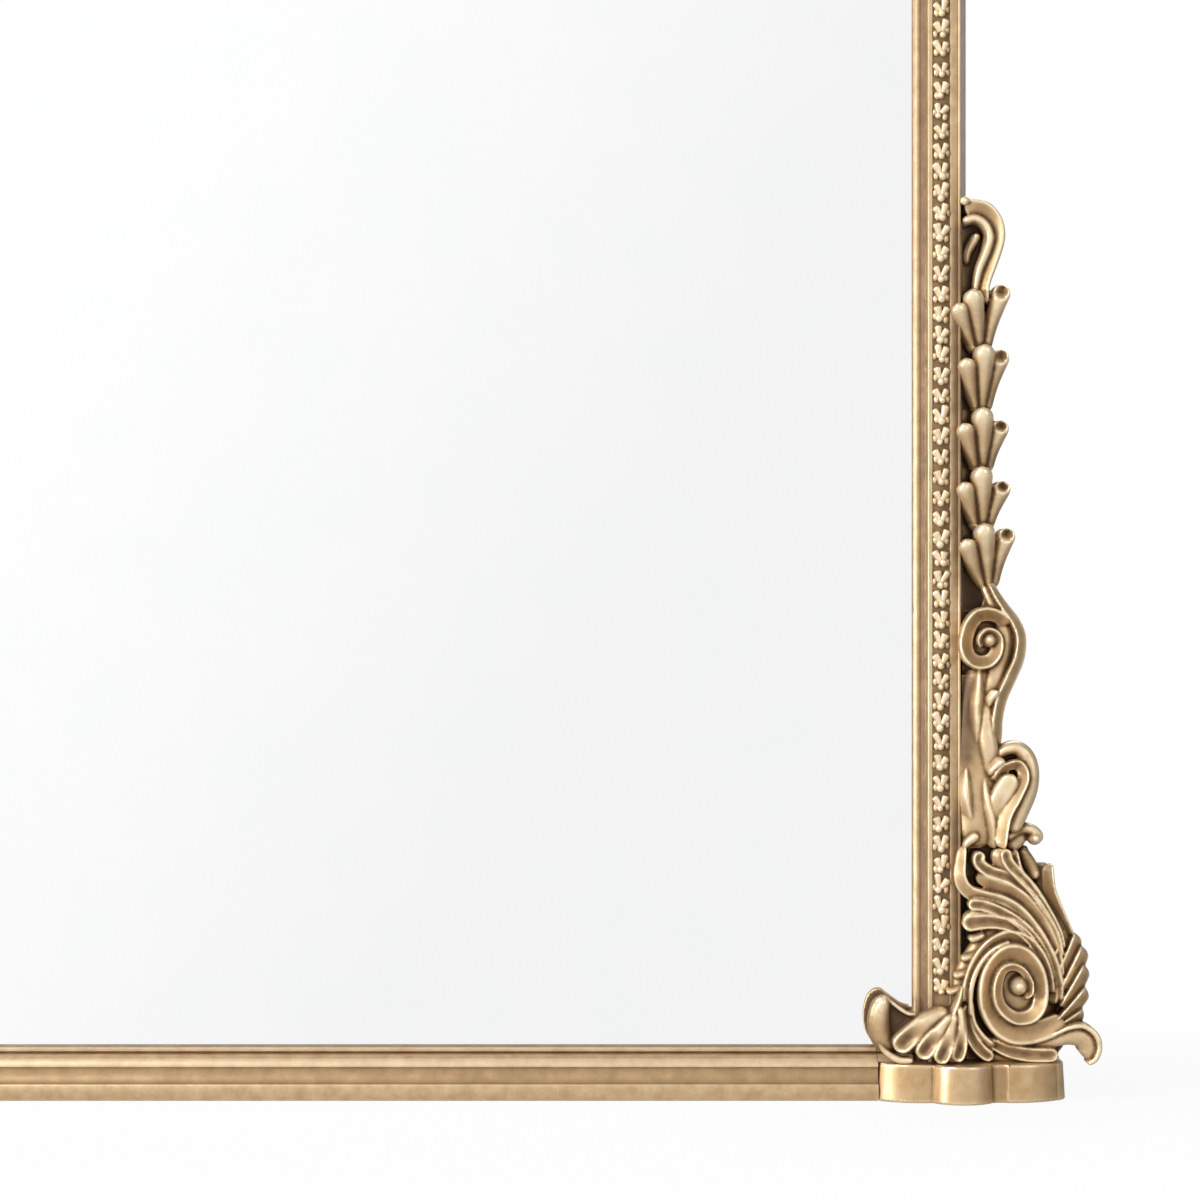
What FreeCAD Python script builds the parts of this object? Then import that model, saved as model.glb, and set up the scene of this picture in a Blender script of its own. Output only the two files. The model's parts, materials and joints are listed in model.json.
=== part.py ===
import FreeCAD, Part
import math
import os
import re
import Sketcher
from FreeCAD import Matrix, Placement, Rotation, Vector

os.makedirs("parts", exist_ok=True)
doc = FreeCAD.newDocument("arched_mirror")

# Driving sizes in millimetres and degrees. X runs to the right, Y to the wall, Z up;
# the back of the frame lies on Y = 0, the plinths stand on Z = 0 and X = 0 is the middle.
SIZES = {
    "sight_half_width": 304.0,
    "spring_height": 472.0,
    "rail_height": 23.0,
    "rabbet_width": 7.0,
    "board_thickness": 5.0,
    "felt_thickness": 1.0,
    "glass_thickness": 4.0,
    "glass_play": 0.2,
    "pane_gap": 1.0,
    "face_width": 20.0,
    "side_splay": 4.0,
    "face_depth": 21.6,
    "lip_bead": 2.6,
    "lip_depth": 14.2,
    "cove_width": 3.0,
    "fillet_width": 2.2,
    "channel_width": 7.4,
    "channel_depth": 2.0,
    "outer_flat": 0.8,
    "quirk_width": 0.8,
    "quirk_depth": 16.0,
    "cove_radius": 6.0,
    "ovolo_radius": 5.0,
    "rail_lip_depth": 16.0,
    "rail_lip_height": 2.2,
    "rail_quirk": 1.2,
    "rail_roll_drop": 5.4,
    "rail_roll_depth": 21.6,
    "rail_roll_radius": 6.2,
    "rail_band_height": 7.0,
    "rail_band_depth": 23.8,
    "rail_hollow_radius": 7.0,
    "rail_band_radius": 8.0,
    "plinth_height": 16.0,
    "plinth_inset": 15.0,
    "plinth_overhang": 40.0,
    "lobe_inner_width": 22.0,
    "lobe_middle_width": 25.4,
    "groove_width": 6.3,
    "lobe_root": 31.0,
    "lobe_inner_radius": 24.0,
    "lobe_middle_radius": 14.5,
    "groove_radius": 5.0,
    "lobe_outer_radius": 28.0,
    "plinth_corner": 8.0,
    "ribbon_thickness": 0.5,
    "ribbon_play": 0.1,
    "bead_pitch": 8.5,
    "bead_radius": 1.6,
    "husk_arm_radius": 1.2,
    "husk_arm_length": 5.6,
    "husk_arm_angle": 26.0,
    "stile_bead_start": 28.0,
    "dowel_radius": 3.0,
    "dowel_play": 0.03,
    "dowel_length": 24.0,
    "dowel_inset": 14.5,
    "dowel_back": 5.5,
    "dowel_front": 13.0,
    "rail_dowel_height": 8.0,
    "block_length": 40.0,
    "block_place": 180.0,
    "screw_shank": 1.75,
    "screw_play": 0.02,
    "screw_head": 3.4,
    "screw_head_height": 1.7,
    "screw_depth": 11.0,
    "button_width": 10.0,
    "button_reach": 20.0,
    "button_tail": 5.0,
    "button_thickness": 1.2,
    "button_play": 0.15,
    "pivot_play": 0.06,
    "rail_button_place": 150.0,
    "stile_button_height": 250.0,
    "arch_button_low": 34.0,
    "arch_button_high": 68.0,
    "hanger_height": 446.0,
    "strap_width": 10.0,
    "strap_length": 30.0,
    "strap_thickness": 1.2,
    "strap_screw_first": 15.5,
    "strap_screw_second": 24.5,
    "ring_wire": 1.25,
    "ring_play": 0.06,
    "ring_corner": 2.0,
    "ring_bow": 7.5,
    "bumper_radius": 6.0,
    "bumper_thickness": 4.5,
    "bumper_height": 60.0,
    "carving_back": 5.0,
    "carving_plate": 18.0,
    "carving_seat": 0.2,
    "leaf_rise": 11.0,
    "leaf_level": 21.0,
    "volute_inner": 7.5,
    "volute_growth": 5.9,
    "volute_stretch": 1.28,
    "volute_turns": 1.58,
    "volute_ridge": 4.2,
    "volute_rise": 12.0,
    "volute_eye": 3.6,
    "husk_pitch": 25.0,
    "husk_length": 28.5,
    "husk_width": 8.8,
    "husk_lobe": 5.6,
    "husk_count": 5,
    "crest_height": 100.0,
    "crest_fan_angle": 20.0,
    "crest_fan_step": 15.0,
    "crest_leaf": 11.0,
}
# Sizes that follow from the driving ones
DERIVED = {
    "lip_back": "board_thickness + felt_thickness + glass_thickness + glass_play",
    "outer_half_width": "sight_half_width + face_width + side_splay",
    "band_middle": "sight_half_width + (rabbet_width + face_width + side_splay) / 2",
    "channel_start": "lip_bead + cove_width + fillet_width",
    "channel_end": "channel_start + channel_width",
    "pane_half_width": "sight_half_width + rabbet_width - pane_gap",
    "pane_bottom": "rail_height - rabbet_width + pane_gap",
    "plinth_inner": "sight_half_width - plinth_inset",
    "plinth_outer": "outer_half_width + plinth_overhang",
    "bead_radius_of_arch": "sight_half_width + channel_start + channel_width / 2",
    "dowel_line": "sight_half_width + dowel_inset",
    "ring_axis": "strap_thickness + ring_wire + ring_play",
    "ring_bar": "ring_bow - ring_corner",
    "crown_height": "spring_height + outer_half_width",
}

sheet = doc.addObject("Spreadsheet::Sheet", "Sizes")
cells = {name: str(number) for name, number in SIZES.items()}
cells.update({name: "=" + formula for name, formula in DERIVED.items()})
for row, (name, content) in enumerate(cells.items(), 1):
    sheet.set(f"A{row}", name)
    sheet.set(f"B{row}", content)
    sheet.setAlias(f"B{row}", name)
doc.recompute()


def bound(expression):
    """The same expression with each size read from the sheet."""
    return re.sub(r"[a-z_]{3,}", lambda m: "Sizes." + m[0] if m[0] in cells else m[0], expression)


def value(expression):
    return float(sheet.evalExpression(bound(expression)))


# Sketches and solid features
def new_body(label):
    body = doc.addObject("PartDesign::Body", label)
    body.Label = label
    return body


def new_sketch(body, role, offset="0"):
    plane = next(item for item in body.Origin.OriginFeatures if item.Role == role)
    sketch = body.newObject("Sketcher::SketchObject", body.Label + "_sketch")
    sketch.AttachmentSupport = (plane, [""])
    sketch.MapMode = "FlatFace"
    sketch.setExpression("AttachmentOffset.Base.z", bound(offset))
    return sketch


def pin(sketch, kind, geometry, position, expression):
    """Hold one coordinate of a sketch point at a size."""
    size = value(expression)
    if abs(size) < 1e-9:
        axis = -2 if kind == "DistanceX" else -1
        sketch.addConstraint(Sketcher.Constraint("PointOnObject", geometry, position, axis))
        return
    ends = (-1, 1, geometry, position) if size > 0 else (geometry, position, -1, 1)
    index = sketch.addConstraint(Sketcher.Constraint(kind, *ends, abs(size)))
    sketch.setExpression(f"Constraints[{index}]", bound(expression if size > 0 else f"-({expression})"))


HALF_ROUND = "half round"


def arc_between(start, end, radius, turn):
    """Arc of the shorter sweep; turn is 1 for a left-hand bend and -1 for a right-hand one."""
    chord = end - start
    reach = math.sqrt(max(radius**2 - chord.Length**2 / 4, 0.0))
    side = Vector(-chord.y, chord.x, 0).normalize()
    centre = (start + end) / 2 + side * reach * turn
    first, last = (start, end) if turn > 0 else (end, start)
    angles = [math.atan2(p.y - centre.y, p.x - centre.x) for p in (first, last)]
    if angles[1] < angles[0]:
        angles[1] += 2 * math.pi
    return Part.ArcOfCircle(Part.Circle(centre, Vector(0, 0, 1), radius), *angles)


def draw(sketch, corners):
    """Closed outline; a corner with a radius and a turn starts an arc, any other a straight line."""
    points = [Vector(value(corner[0]), value(corner[1]), 0) for corner in corners]
    ends = []
    for number, corner in enumerate(corners):
        start, end = points[number], points[(number + 1) % len(points)]
        if len(corner) == 2:
            index = sketch.addGeometry(Part.LineSegment(start, end))
            ends.append((index, 1, 2))
        else:
            radius = (end - start).Length / 2 if corner[2] == HALF_ROUND else value(corner[2])
            index = sketch.addGeometry(arc_between(start, end, radius, corner[3]))
            ends.append((index, 1, 2) if corner[3] > 0 else (index, 2, 1))
    for number, corner in enumerate(corners):
        before, here = ends[number - 1], ends[number]
        sketch.addConstraint(Sketcher.Constraint("Coincident", before[0], before[2], here[0], here[1]))
        pin(sketch, "DistanceX", here[0], here[1], corner[0])
        pin(sketch, "DistanceY", here[0], here[1], corner[1])
        if len(corner) > 2 and corner[2] == HALF_ROUND:
            sketch.addConstraint(Sketcher.Constraint("Symmetric", here[0], 1, here[0], 2, here[0], 3))
        elif len(corner) > 2:
            radius = sketch.addConstraint(Sketcher.Constraint("Radius", here[0], value(corner[2])))
            sketch.setExpression(f"Constraints[{radius}]", bound(corner[2]))


def draw_circles(sketch, centres, radius):
    for across, along in centres:
        middle = Vector(value(across), value(along), 0)
        index = sketch.addGeometry(Part.Circle(middle, Vector(0, 0, 1), value(radius)))
        pin(sketch, "DistanceX", index, 3, across)
        pin(sketch, "DistanceY", index, 3, along)
        size = sketch.addConstraint(Sketcher.Constraint("Radius", index, value(radius)))
        sketch.setExpression(f"Constraints[{size}]", bound(radius))


def pad(body, sketch, length, reverse=False, both_ways=False):
    feature = body.newObject("PartDesign::Pad", body.Label + "_pad")
    feature.Profile = sketch
    feature.setExpression("Length", bound(length))
    feature.Reversed = reverse
    feature.SideType = "Symmetric" if both_ways else "One side"
    return feature


def pocket(body, sketch, length, reverse=False):
    feature = body.newObject("PartDesign::Pocket", body.Label + "_pocket")
    feature.Profile = sketch
    feature.setExpression("Length", bound(length))
    feature.Reversed = reverse
    return feature


def drill(body, role, offset, centres, radius, depth, reverse=False):
    sketch = new_sketch(body, role, offset)
    draw_circles(sketch, centres, radius)
    return pocket(body, sketch, depth, reverse)


def mirrored(source, label):
    feature = doc.addObject("Part::Mirroring", label)
    feature.Label = label
    feature.Source = source
    feature.Base = Vector(0, 0, 0)
    feature.Normal = Vector(1, 0, 0)
    return feature


def both_sides(source):
    """The right-hand piece and its left-hand twin."""
    return [source, mirrored(source, source.Label.replace("right_", "left_"))]


def group(label, members):
    feature = doc.addObject("Part::Compound", label)
    feature.Label = label
    feature.Links = members
    return feature


def place(item, across, along, up):
    for axis, expression in zip("xyz", (across, along, up)):
        item.setExpression(f"Placement.Base.{axis}", bound(expression))


nodes = []

# Moulding of the stiles and the arch: lip bead, cove, fillet, channel, ovolo, quirk, splayed side, rabbet
STILE_PROFILE = [
    ("sight_half_width", "-lip_back"),
    ("sight_half_width", "-lip_depth", HALF_ROUND, 1),
    ("sight_half_width + lip_bead", "-lip_depth", "cove_radius", -1),
    ("sight_half_width + lip_bead + cove_width", "-(face_depth - channel_depth)"),
    ("sight_half_width + lip_bead + cove_width", "-face_depth"),
    ("sight_half_width + channel_start", "-face_depth"),
    ("sight_half_width + channel_start", "-(face_depth - channel_depth)"),
    ("sight_half_width + channel_end", "-(face_depth - channel_depth)"),
    ("sight_half_width + channel_end", "-face_depth"),
    ("sight_half_width + channel_end + outer_flat", "-face_depth", "ovolo_radius", 1),
    ("sight_half_width + face_width - quirk_width", "-(quirk_depth + 1)"),
    ("sight_half_width + face_width - quirk_width", "-quirk_depth"),
    ("sight_half_width + face_width", "-quirk_depth"),
    ("outer_half_width", "0"),
    ("sight_half_width + rabbet_width", "0"),
    ("sight_half_width + rabbet_width", "-lip_back"),
]
DOWEL_HOLE = "dowel_radius + dowel_play"
PILOT_HOLE = "screw_shank + screw_play"
STILE_DOWELS = [("dowel_line", "-dowel_back"), ("dowel_line", "-dowel_front")]

stile = new_body("right_stile")
profile = new_sketch(stile, "XY_Plane", "spring_height")
draw(profile, STILE_PROFILE)
pad(stile, profile, "spring_height - plinth_height", reverse=True)
drill(stile, "XY_Plane", "spring_height", STILE_DOWELS, DOWEL_HOLE, "dowel_length / 2")
drill(stile, "XY_Plane", "plinth_height", STILE_DOWELS, DOWEL_HOLE, "dowel_length / 2", reverse=True)
stile_screws = [
    ("band_middle", "hanger_height - strap_screw_first"),
    ("band_middle", "hanger_height - strap_screw_second"),
    ("band_middle", "stile_button_height"),
]
drill(stile, "XZ_Plane", "0", stile_screws, PILOT_HOLE, "screw_depth", reverse=True)
nodes += both_sides(stile)

arch = new_body("right_arch")
profile = new_sketch(arch, "XY_Plane", "spring_height")
draw(profile, STILE_PROFILE)
sweep = arch.newObject("PartDesign::Revolution", "right_arch_sweep")
sweep.Profile = profile
sweep.ReferenceAxis = (profile, ["V_Axis"])
sweep.Angle = 90
sweep.Reversed = True
drill(arch, "XY_Plane", "spring_height", STILE_DOWELS, DOWEL_HOLE, "dowel_length / 2", reverse=True)
crown_dowels = [("-dowel_back", "spring_height + dowel_line"), ("-dowel_front", "spring_height + dowel_line")]
drill(arch, "YZ_Plane", "0", crown_dowels, DOWEL_HOLE, "dowel_length / 2", reverse=True)
arch_screws = [
    (f"band_middle * cos({angle})", f"spring_height + band_middle * sin({angle})")
    for angle in ("arch_button_low", "arch_button_high")
]
drill(arch, "XZ_Plane", "0", arch_screws, PILOT_HOLE, "screw_depth", reverse=True)
nodes += both_sides(arch)

# Bottom rail: lip, quirk, roll, hollow and band, cut back at both ends to sit on the plinths
rail = new_body("bottom_rail")
profile = new_sketch(rail, "YZ_Plane")
roll_top = "rail_height - rail_lip_height - rail_quirk"
draw(profile, [
    ("-lip_back", "rail_height"),
    ("-rail_lip_depth", "rail_height"),
    ("-rail_lip_depth", "rail_height - rail_lip_height"),
    ("-(rail_lip_depth - rail_quirk)", "rail_height - rail_lip_height"),
    ("-(rail_lip_depth - rail_quirk)", roll_top, "rail_roll_radius", 1),
    ("-rail_roll_depth", f"{roll_top} - rail_roll_drop"),
    ("-(rail_roll_depth - rail_quirk)", f"{roll_top} - rail_roll_drop", "rail_hollow_radius", -1),
    ("-(rail_band_depth - rail_quirk)", "rail_band_height"),
    ("-rail_band_depth", "rail_band_height", "rail_band_radius", 1),
    ("-rail_band_depth", "0"),
    ("0", "0"),
    ("0", "rail_height - rabbet_width"),
    ("-lip_back", "rail_height - rabbet_width"),
])
pad(rail, profile, "2 * sight_half_width", both_ways=True)
for side in ("", "-"):
    notch = new_sketch(rail, "XZ_Plane")
    draw(notch, [
        (f"{side}plinth_inner", "0"),
        (f"{side}sight_half_width", "0"),
        (f"{side}sight_half_width", "plinth_height"),
        (f"{side}plinth_inner", "plinth_height"),
    ])
    pocket(rail, notch, "rail_band_depth + rail_band_height", reverse=True)
rail_dowels = [("-dowel_back", "rail_dowel_height"), ("-dowel_front", "rail_dowel_height")]
drill(rail, "YZ_Plane", "plinth_inner", rail_dowels, DOWEL_HOLE, "dowel_length / 2")
drill(rail, "YZ_Plane", "-plinth_inner", rail_dowels, DOWEL_HOLE, "dowel_length / 2", reverse=True)
rail_screws = [(side + "rail_button_place", "plinth_height / 2") for side in ("", "-")]
drill(rail, "XZ_Plane", "0", rail_screws, PILOT_HOLE, "screw_depth", reverse=True)
nodes.append(rail)

# Plinth with three lobes and a groove in plan
plinth = new_body("right_plinth")
plan = new_sketch(plinth, "XY_Plane")
middle_start = "plinth_inner + lobe_inner_width"
middle_end = f"{middle_start} + lobe_middle_width"
draw(plan, [
    ("plinth_inner", "0"),
    ("plinth_inner", "-rail_band_depth", "lobe_inner_radius", 1),
    (middle_start, "-lobe_root", "lobe_middle_radius", 1),
    (middle_end, "-lobe_root", "groove_radius", -1),
    (f"{middle_end} + groove_width", "-lobe_root", "lobe_outer_radius", 1),
    ("plinth_outer - plinth_corner / 2", "-(lobe_root - plinth_corner)", "plinth_corner", 1),
    ("plinth_outer", "-(lobe_root - 2 * plinth_corner)"),
    ("plinth_outer", "0"),
])
pad(plinth, plan, "plinth_height")
drill(plinth, "XY_Plane", "plinth_height", STILE_DOWELS, DOWEL_HOLE, "dowel_length / 2")
drill(plinth, "YZ_Plane", "plinth_inner", rail_dowels, DOWEL_HOLE, "dowel_length / 2", reverse=True)
nodes += both_sides(plinth)

# Husk-and-bead strips: a ribbon in the channel, one bead and two leaf arms to each pitch
def ornament_unit():
    """One husk with a bead under it, standing upright on the ribbon at the origin."""
    root = Vector(0, 0, -0.3 * value("husk_arm_length"))
    bead = Part.makeSphere(value("bead_radius"), root - Vector(0, value("ribbon_thickness"), value("bead_radius * 0.7")))
    lean = math.radians(value("husk_arm_angle"))
    arms = [
        Part.makeCone(
            value("husk_arm_radius") / 2, value("husk_arm_radius"), value("husk_arm_length"),
            root, Vector(side * math.sin(lean), 0, math.cos(lean)))
        for side in (-1, 1)
    ]
    above = Part.makeBox(
        2 * value("channel_width"), value("channel_width"), 2 * value("bead_pitch"),
        Vector(-value("channel_width"), value("ribbon_thickness / 2 - channel_width"), -value("bead_pitch")))
    return bead.multiFuse(arms).common(above)


ribbon_back = value("face_depth - channel_depth")
ribbon_half = value("channel_width / 2 - ribbon_play")
ribbon_front = ribbon_back + value("ribbon_thickness")
strip_line = value("bead_radius_of_arch")
strip_bottom = value("plinth_height + stile_bead_start")
strip_length = value("spring_height") - strip_bottom
unit = ornament_unit()

ribbon = Part.makeBox(
    2 * ribbon_half, value("ribbon_thickness"), strip_length,
    Vector(strip_line - ribbon_half, -ribbon_front, strip_bottom))
count = int(strip_length / value("bead_pitch"))
step = strip_length / count
units = []
for number in range(count):
    copy = unit.copy()
    copy.translate(Vector(strip_line, -ribbon_front, strip_bottom + (number + 0.5) * step))
    units.append(copy)
stile_strip = doc.addObject("Part::Feature", "right_stile_beading")
stile_strip.Shape = ribbon.multiFuse(units).Solids[0]
nodes += both_sides(stile_strip)

arch_middle = Vector(0, 0, value("spring_height"))
face = Part.makePlane(
    2 * ribbon_half, value("ribbon_thickness"),
    arch_middle + Vector(strip_line - ribbon_half, -ribbon_back, 0), Vector(0, 0, -1), Vector(1, 0, 0))
ribbon = face.revolve(arch_middle, Vector(0, -1, 0), 90)
count = int(strip_line * math.pi / 2 / value("bead_pitch"))
units = []
for number in range(count):
    copy = unit.copy()
    copy.translate(arch_middle + Vector(strip_line, -ribbon_front, 0))
    copy.rotate(arch_middle, Vector(0, -1, 0), 90 * (number + 0.5) / count)
    units.append(copy)
arch_strip = doc.addObject("Part::Feature", "right_arch_beading")
arch_strip.Shape = ribbon.multiFuse(units).Solids[0]
nodes += both_sides(arch_strip)

# Carved ornament: each leaf is a skin over ellipses set along an arc
UNIT_CIRCLE = Part.Circle(Vector(0, 0, 0), Vector(0, 0, 1), 1).toShape()
LEAF_TAPER = ((0, 0.55, 0.7), (0.4, 0.85, 0.95), (0.75, 1, 1), (0.93, 0.75, 0.8), (1, 0.3, 0.4))


def section(point, along, half_width, half_rise):
    """Ellipse across a path that lies in a plane facing the viewer."""
    ahead = Vector(along).normalize()
    depth = Vector(0, 1, 0)
    across = ahead.cross(depth)
    frame = Matrix(
        across.x * half_width, depth.x * half_rise, ahead.x, point.x,
        across.y * half_width, depth.y * half_rise, ahead.y, point.y,
        across.z * half_width, depth.z * half_rise, ahead.z, point.z,
        0, 0, 0, 1)
    return Part.Wire(UNIT_CIRCLE.transformGeometry(frame))


def path_through(start, via, tip):
    """Arc through three points, or a straight line where they lie on one."""
    if (via - start).cross(tip - start).Length < 1e-6:
        return Part.LineSegment(start, tip)
    return Part.Arc(start, via, tip)


def leaf(anchor, start, via, tip, width, lift):
    """Leaf from start to tip, standing lift above the usual level."""
    level = -(value("leaf_level") + lift)
    path = path_through(*[anchor + Vector(across, level, up) for across, up in (start, via, tip)])
    rings = []
    for share, broad, thick in LEAF_TAPER:
        at = path.FirstParameter + (path.LastParameter - path.FirstParameter) * share
        half_rise = value("leaf_rise") * thick / 2
        rings.append(section(path.value(at), path.tangent(at)[0], width * broad / 2, half_rise))
    return Part.makeLoft(rings, True, False)


def volute(anchor, centre, first, turns, hand, inner, growth, stretch, ridge, lift):
    """Spiral ridge that grows evenly with its angle; hand is 1 for a left-hand turn going outward."""
    rings = []
    count = int(turns * 9) + 1
    for number in range(count):
        turned = 2 * math.pi * turns * number / (count - 1)
        angle = math.radians(first) + hand * turned
        radius = inner + growth * turned / (2 * math.pi)
        gain = hand * growth / (2 * math.pi)
        level = value("leaf_level") + lift * (1 - 0.6 * number / (count - 1))
        point = anchor + Vector(
            centre[0] + radius * math.cos(angle), -level, centre[1] + stretch * radius * math.sin(angle))
        along = Vector(
            gain * math.cos(angle) - radius * math.sin(angle), 0,
            stretch * (gain * math.sin(angle) + radius * math.cos(angle))) * hand
        breadth = ridge * (0.7 + 0.5 * number / (count - 1)) / 2
        rings.append(section(point, along, breadth, value("volute_rise") / 2))
    return Part.makeLoft(rings, True, False)


def eye(anchor, centre, radius, lift):
    """Ball at the middle of a volute on a tapered neck that stands on the backing."""
    height = value("leaf_level") + lift
    foot = value("carving_plate") - radius
    root = anchor + Vector(centre[0], -foot, centre[1])
    ball = Part.makeSphere(radius, root - Vector(0, height - foot, 0))
    return ball.fuse(Part.makeCone(1.3 * radius, 0.7 * radius, height - foot, root, Vector(0, -1, 0)))


def boss(anchor, centre, wide, narrow, top):
    """Raised ground under a volute."""
    foot = value("carving_plate") - 2
    return Part.makeCone(wide, narrow, top - foot, anchor + Vector(centre[0], -foot, centre[1]), Vector(0, -1, 0))


def backing(anchor, start, legs, back, front):
    """Flat back of a carving; a leg with two points is an arc through the first to the second."""
    here = anchor + Vector(start[0], -back, start[1])
    edges = []
    for leg in legs + [(start,)]:
        stops = [anchor + Vector(across, -back, up) for across, up in leg]
        edges.append(Part.Arc(here, *stops).toShape() if len(stops) == 2 else Part.makeLine(here, stops[0]))
        here = stops[-1]
    return Part.Face(Part.Wire(edges)).extrude(Vector(0, back - front, 0))


def carved(label, solids, keep, clear):
    """One casting: its solids joined, kept inside one zone and cut clear of the frame."""
    feature = doc.addObject("Part::Feature", label)
    feature.Label = label
    shape = solids[0].multiFuse(solids[1:]).common(keep).cut(clear)
    if len(shape.Solids) != 1:
        raise RuntimeError(f"{label} falls into {len(shape.Solids)} pieces")
    feature.Shape = shape.Solids[0]
    return feature


def zone(anchor, left, right, low, high, back, front):
    return Part.makeBox(
        right - left, front - back, high - low, anchor + Vector(left, -front, low))


# Room that the stile and the arch take up, with the carving's seat round it
def frame_room():
    seat = value("carving_seat")
    edge = value("sight_half_width")
    corners = [
        (0, 0),
        (value("outer_half_width") + seat, 0),
        (edge + value("face_width") + seat, value("quirk_depth") + seat),
        (edge + value("face_width - quirk_width") + seat, value("quirk_depth + 1") + seat),
        (edge + value("channel_end + outer_flat") + seat, value("face_depth") + seat),
        (0, value("face_depth") + seat),
    ]
    points = [arch_middle + Vector(across, -depth, 0) for across, depth in corners]
    return Part.Face(Part.makePolygon(points + points[:1]))


room = frame_room()
stile_room = room.extrude(Vector(0, 0, value("plinth_height - spring_height")))
arch_room = room.revolve(arch_middle, Vector(0, 1, 0), 360)
corner = Vector(value("outer_half_width"), 0, value("plinth_height"))
BACK = value("carving_back")
PLATE = value("carving_plate")
FRONT = 60.0
SPLIT = -4.4
SEAT = value("carving_seat")

# Corner scroll: a volute under acanthus leaves that sweep over it from the right
VOLUTE = (18.9, 31.9)
SCROLL_LEAVES = [
    ((41.6, 47.0), (30.7, 70.1), (13.1, 88.0), 6.3, 1),
    ((40.8, 44.9), (26.5, 70.9), (4.7, 86.0), 5.9, 0.5),
    ((39.5, 42.0), (20.2, 67.6), (-2.1, 76.4), 5.5, 1.5),
    ((37.8, 37.8), (19.4, 61.3), (-2.5, 65.9), 5.5, 1),
    ((36.2, 35.2), (16.8, 57.1), (-3.0, 59.2), 5.9, 2),
    ((33.6, 30.2), (16.8, 54.1), (0.0, 44.1), 5.0, 3),
    ((33.6, 76.4), (43.0, 47.0), (32.8, 13.4), 12.6, -4),
    ((42.0, 53.3), (34.9, 68.0), (32.4, 82.3), 7.1, -1),
    ((9.7, 7.9), (23.6, 4.2), (36.2, 4.0), 5.9, 1),
    ((-3.4, 25.2), (-1.8, 11.3), (7.6, 3.5), 4.4, 1),
    ((5.5, 42.8), (-0.6, 26.0), (5.5, 6.0), 10.0, -3),
    ((19.8, 7.9), (34.9, 11.3), (47.5, 13.4), 5.0, 3),
    ((46.0, 13.6), (53.2, 8.4), (50.0, 1.2), 6.4, 2),
]
SCROLL_FLANK = [
    ((37.8, 49.1), (41.4, 50.8), (44.6, 53.3)),
    ((38.7, 40.7), (43.2, 42.6), (47.3, 45.7)),
    ((37.8, 32.3), (43.5, 34.2), (48.6, 37.8)),
    ((36.2, 24.7), (42.7, 26.2), (48.2, 30.2)),
    ((33.6, 17.6), (40.4, 18.6), (46.6, 22.2)),
]
scroll = [backing(corner, (-6.0, 0.0), [
    ((35.3, 0.0),),
    ((43.5, 13.4), (45.0, 32.3)),
    ((43.5, 49.1), (36.5, 65.9)),
    ((33.5, 80.0),),
    ((28.6, 80.0),),
    ((24.4, 87.0), (18.1, 89.0)),
    ((-6.0, 89.0),),
], BACK, PLATE)]
scroll += [leaf(corner, *numbers) for numbers in SCROLL_LEAVES]
scroll += [leaf(corner, *points, 5.0, -2) for points in SCROLL_FLANK]
scroll.append(volute(
    corner, VOLUTE, 60, value("volute_turns"), 1, value("volute_inner"), value("volute_growth"),
    value("volute_stretch"), value("volute_ridge"), 6))
scroll.append(eye(corner, VOLUTE, value("volute_eye"), 8))
scroll.append(boss(corner, VOLUTE, 19.0, 8.0, 25.0))
scroll_zone = zone(corner, SPLIT, 70, 0, 90.8, BACK, FRONT)
nodes += both_sides(carved("right_corner_scroll", scroll, scroll_zone, stile_room))

# Fan leaf that spreads from the scroll over the corner of the frame
FAN_LEAVES = [
    ((-7.1, 24.7), (-19.7, 17.6), (-31.5, 7.1), 6.3, 4),
    ((-6.3, 23.1), (-15.5, 13.4), (-23.1, 4.4), 6.3, 5),
    ((-5.4, 21.8), (-9.6, 11.3), (-13.4, 3.4), 5.9, 5),
    ((-5.0, 21.8), (-5.6, 11.3), (-7.6, 4.6), 5.0, 5),
    ((-23.9, 10.2), (-36.5, 12.5), (-39.0, 28.9), 10.1, 4),
]
fan_back = value("face_depth") + SEAT
fan = [backing(corner, (SPLIT - SEAT, 25.0), [
    ((SPLIT - SEAT, 3.0),),
    ((-22.0, 4.0),),
    ((-32.0, 9.0),),
], fan_back, value("leaf_level") + 2)]
fan += [leaf(corner, *numbers) for numbers in FAN_LEAVES]
fan_zone = zone(corner, -70, SPLIT - SEAT, 0, 60, fan_back, FRONT)
nodes += both_sides(carved("right_fan_leaf", fan, fan_zone, stile_room))

# Scroll bracket: fluted stem, hooked leaf with its curl, and a small volute on top
BRACKET_LEAVES = [
    ((13.5, 91.5), (22.3, 110.0), (27.0, 124.7), 5.5, 1),
    ((27.3, 122.4), (22.3, 132.1), (7.6, 126.8), 6.3, 1),
    ((11.8, 98.8), (15.2, 114.2), (16.0, 123.4), 7.6, -1),
    ((10.1, 199.0), (20.9, 181.4), (12.5, 147.0), 6.7, -1),
    ((14.0, 93.5), (23.0, 92.6), (27.6, 95.8), 3.8, -1),
    ((1.5, 92.0), (2.2, 120.0), (3.2, 158.0), 5.0, -1),
    ((7.5, 92.0), (8.2, 120.0), (8.6, 158.0), 5.0, -1),
]
bracket = [backing(corner, (-6.0, 91.0), [
    ((14.0, 91.0),),
    ((21.0, 103.7), (26.4, 121.8)),
    ((23.2, 131.4), (14.3, 132.3)),
    ((12.8, 137.3),),
    ((13.6, 152.0), (19.8, 165.4)),
    ((22.3, 177.2), (17.8, 187.7)),
    ((11.8, 194.0), (10.1, 198.3)),
    ((-6.0, 198.3),),
], BACK, PLATE)]
bracket += [leaf(corner, *numbers) for numbers in BRACKET_LEAVES]
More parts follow.
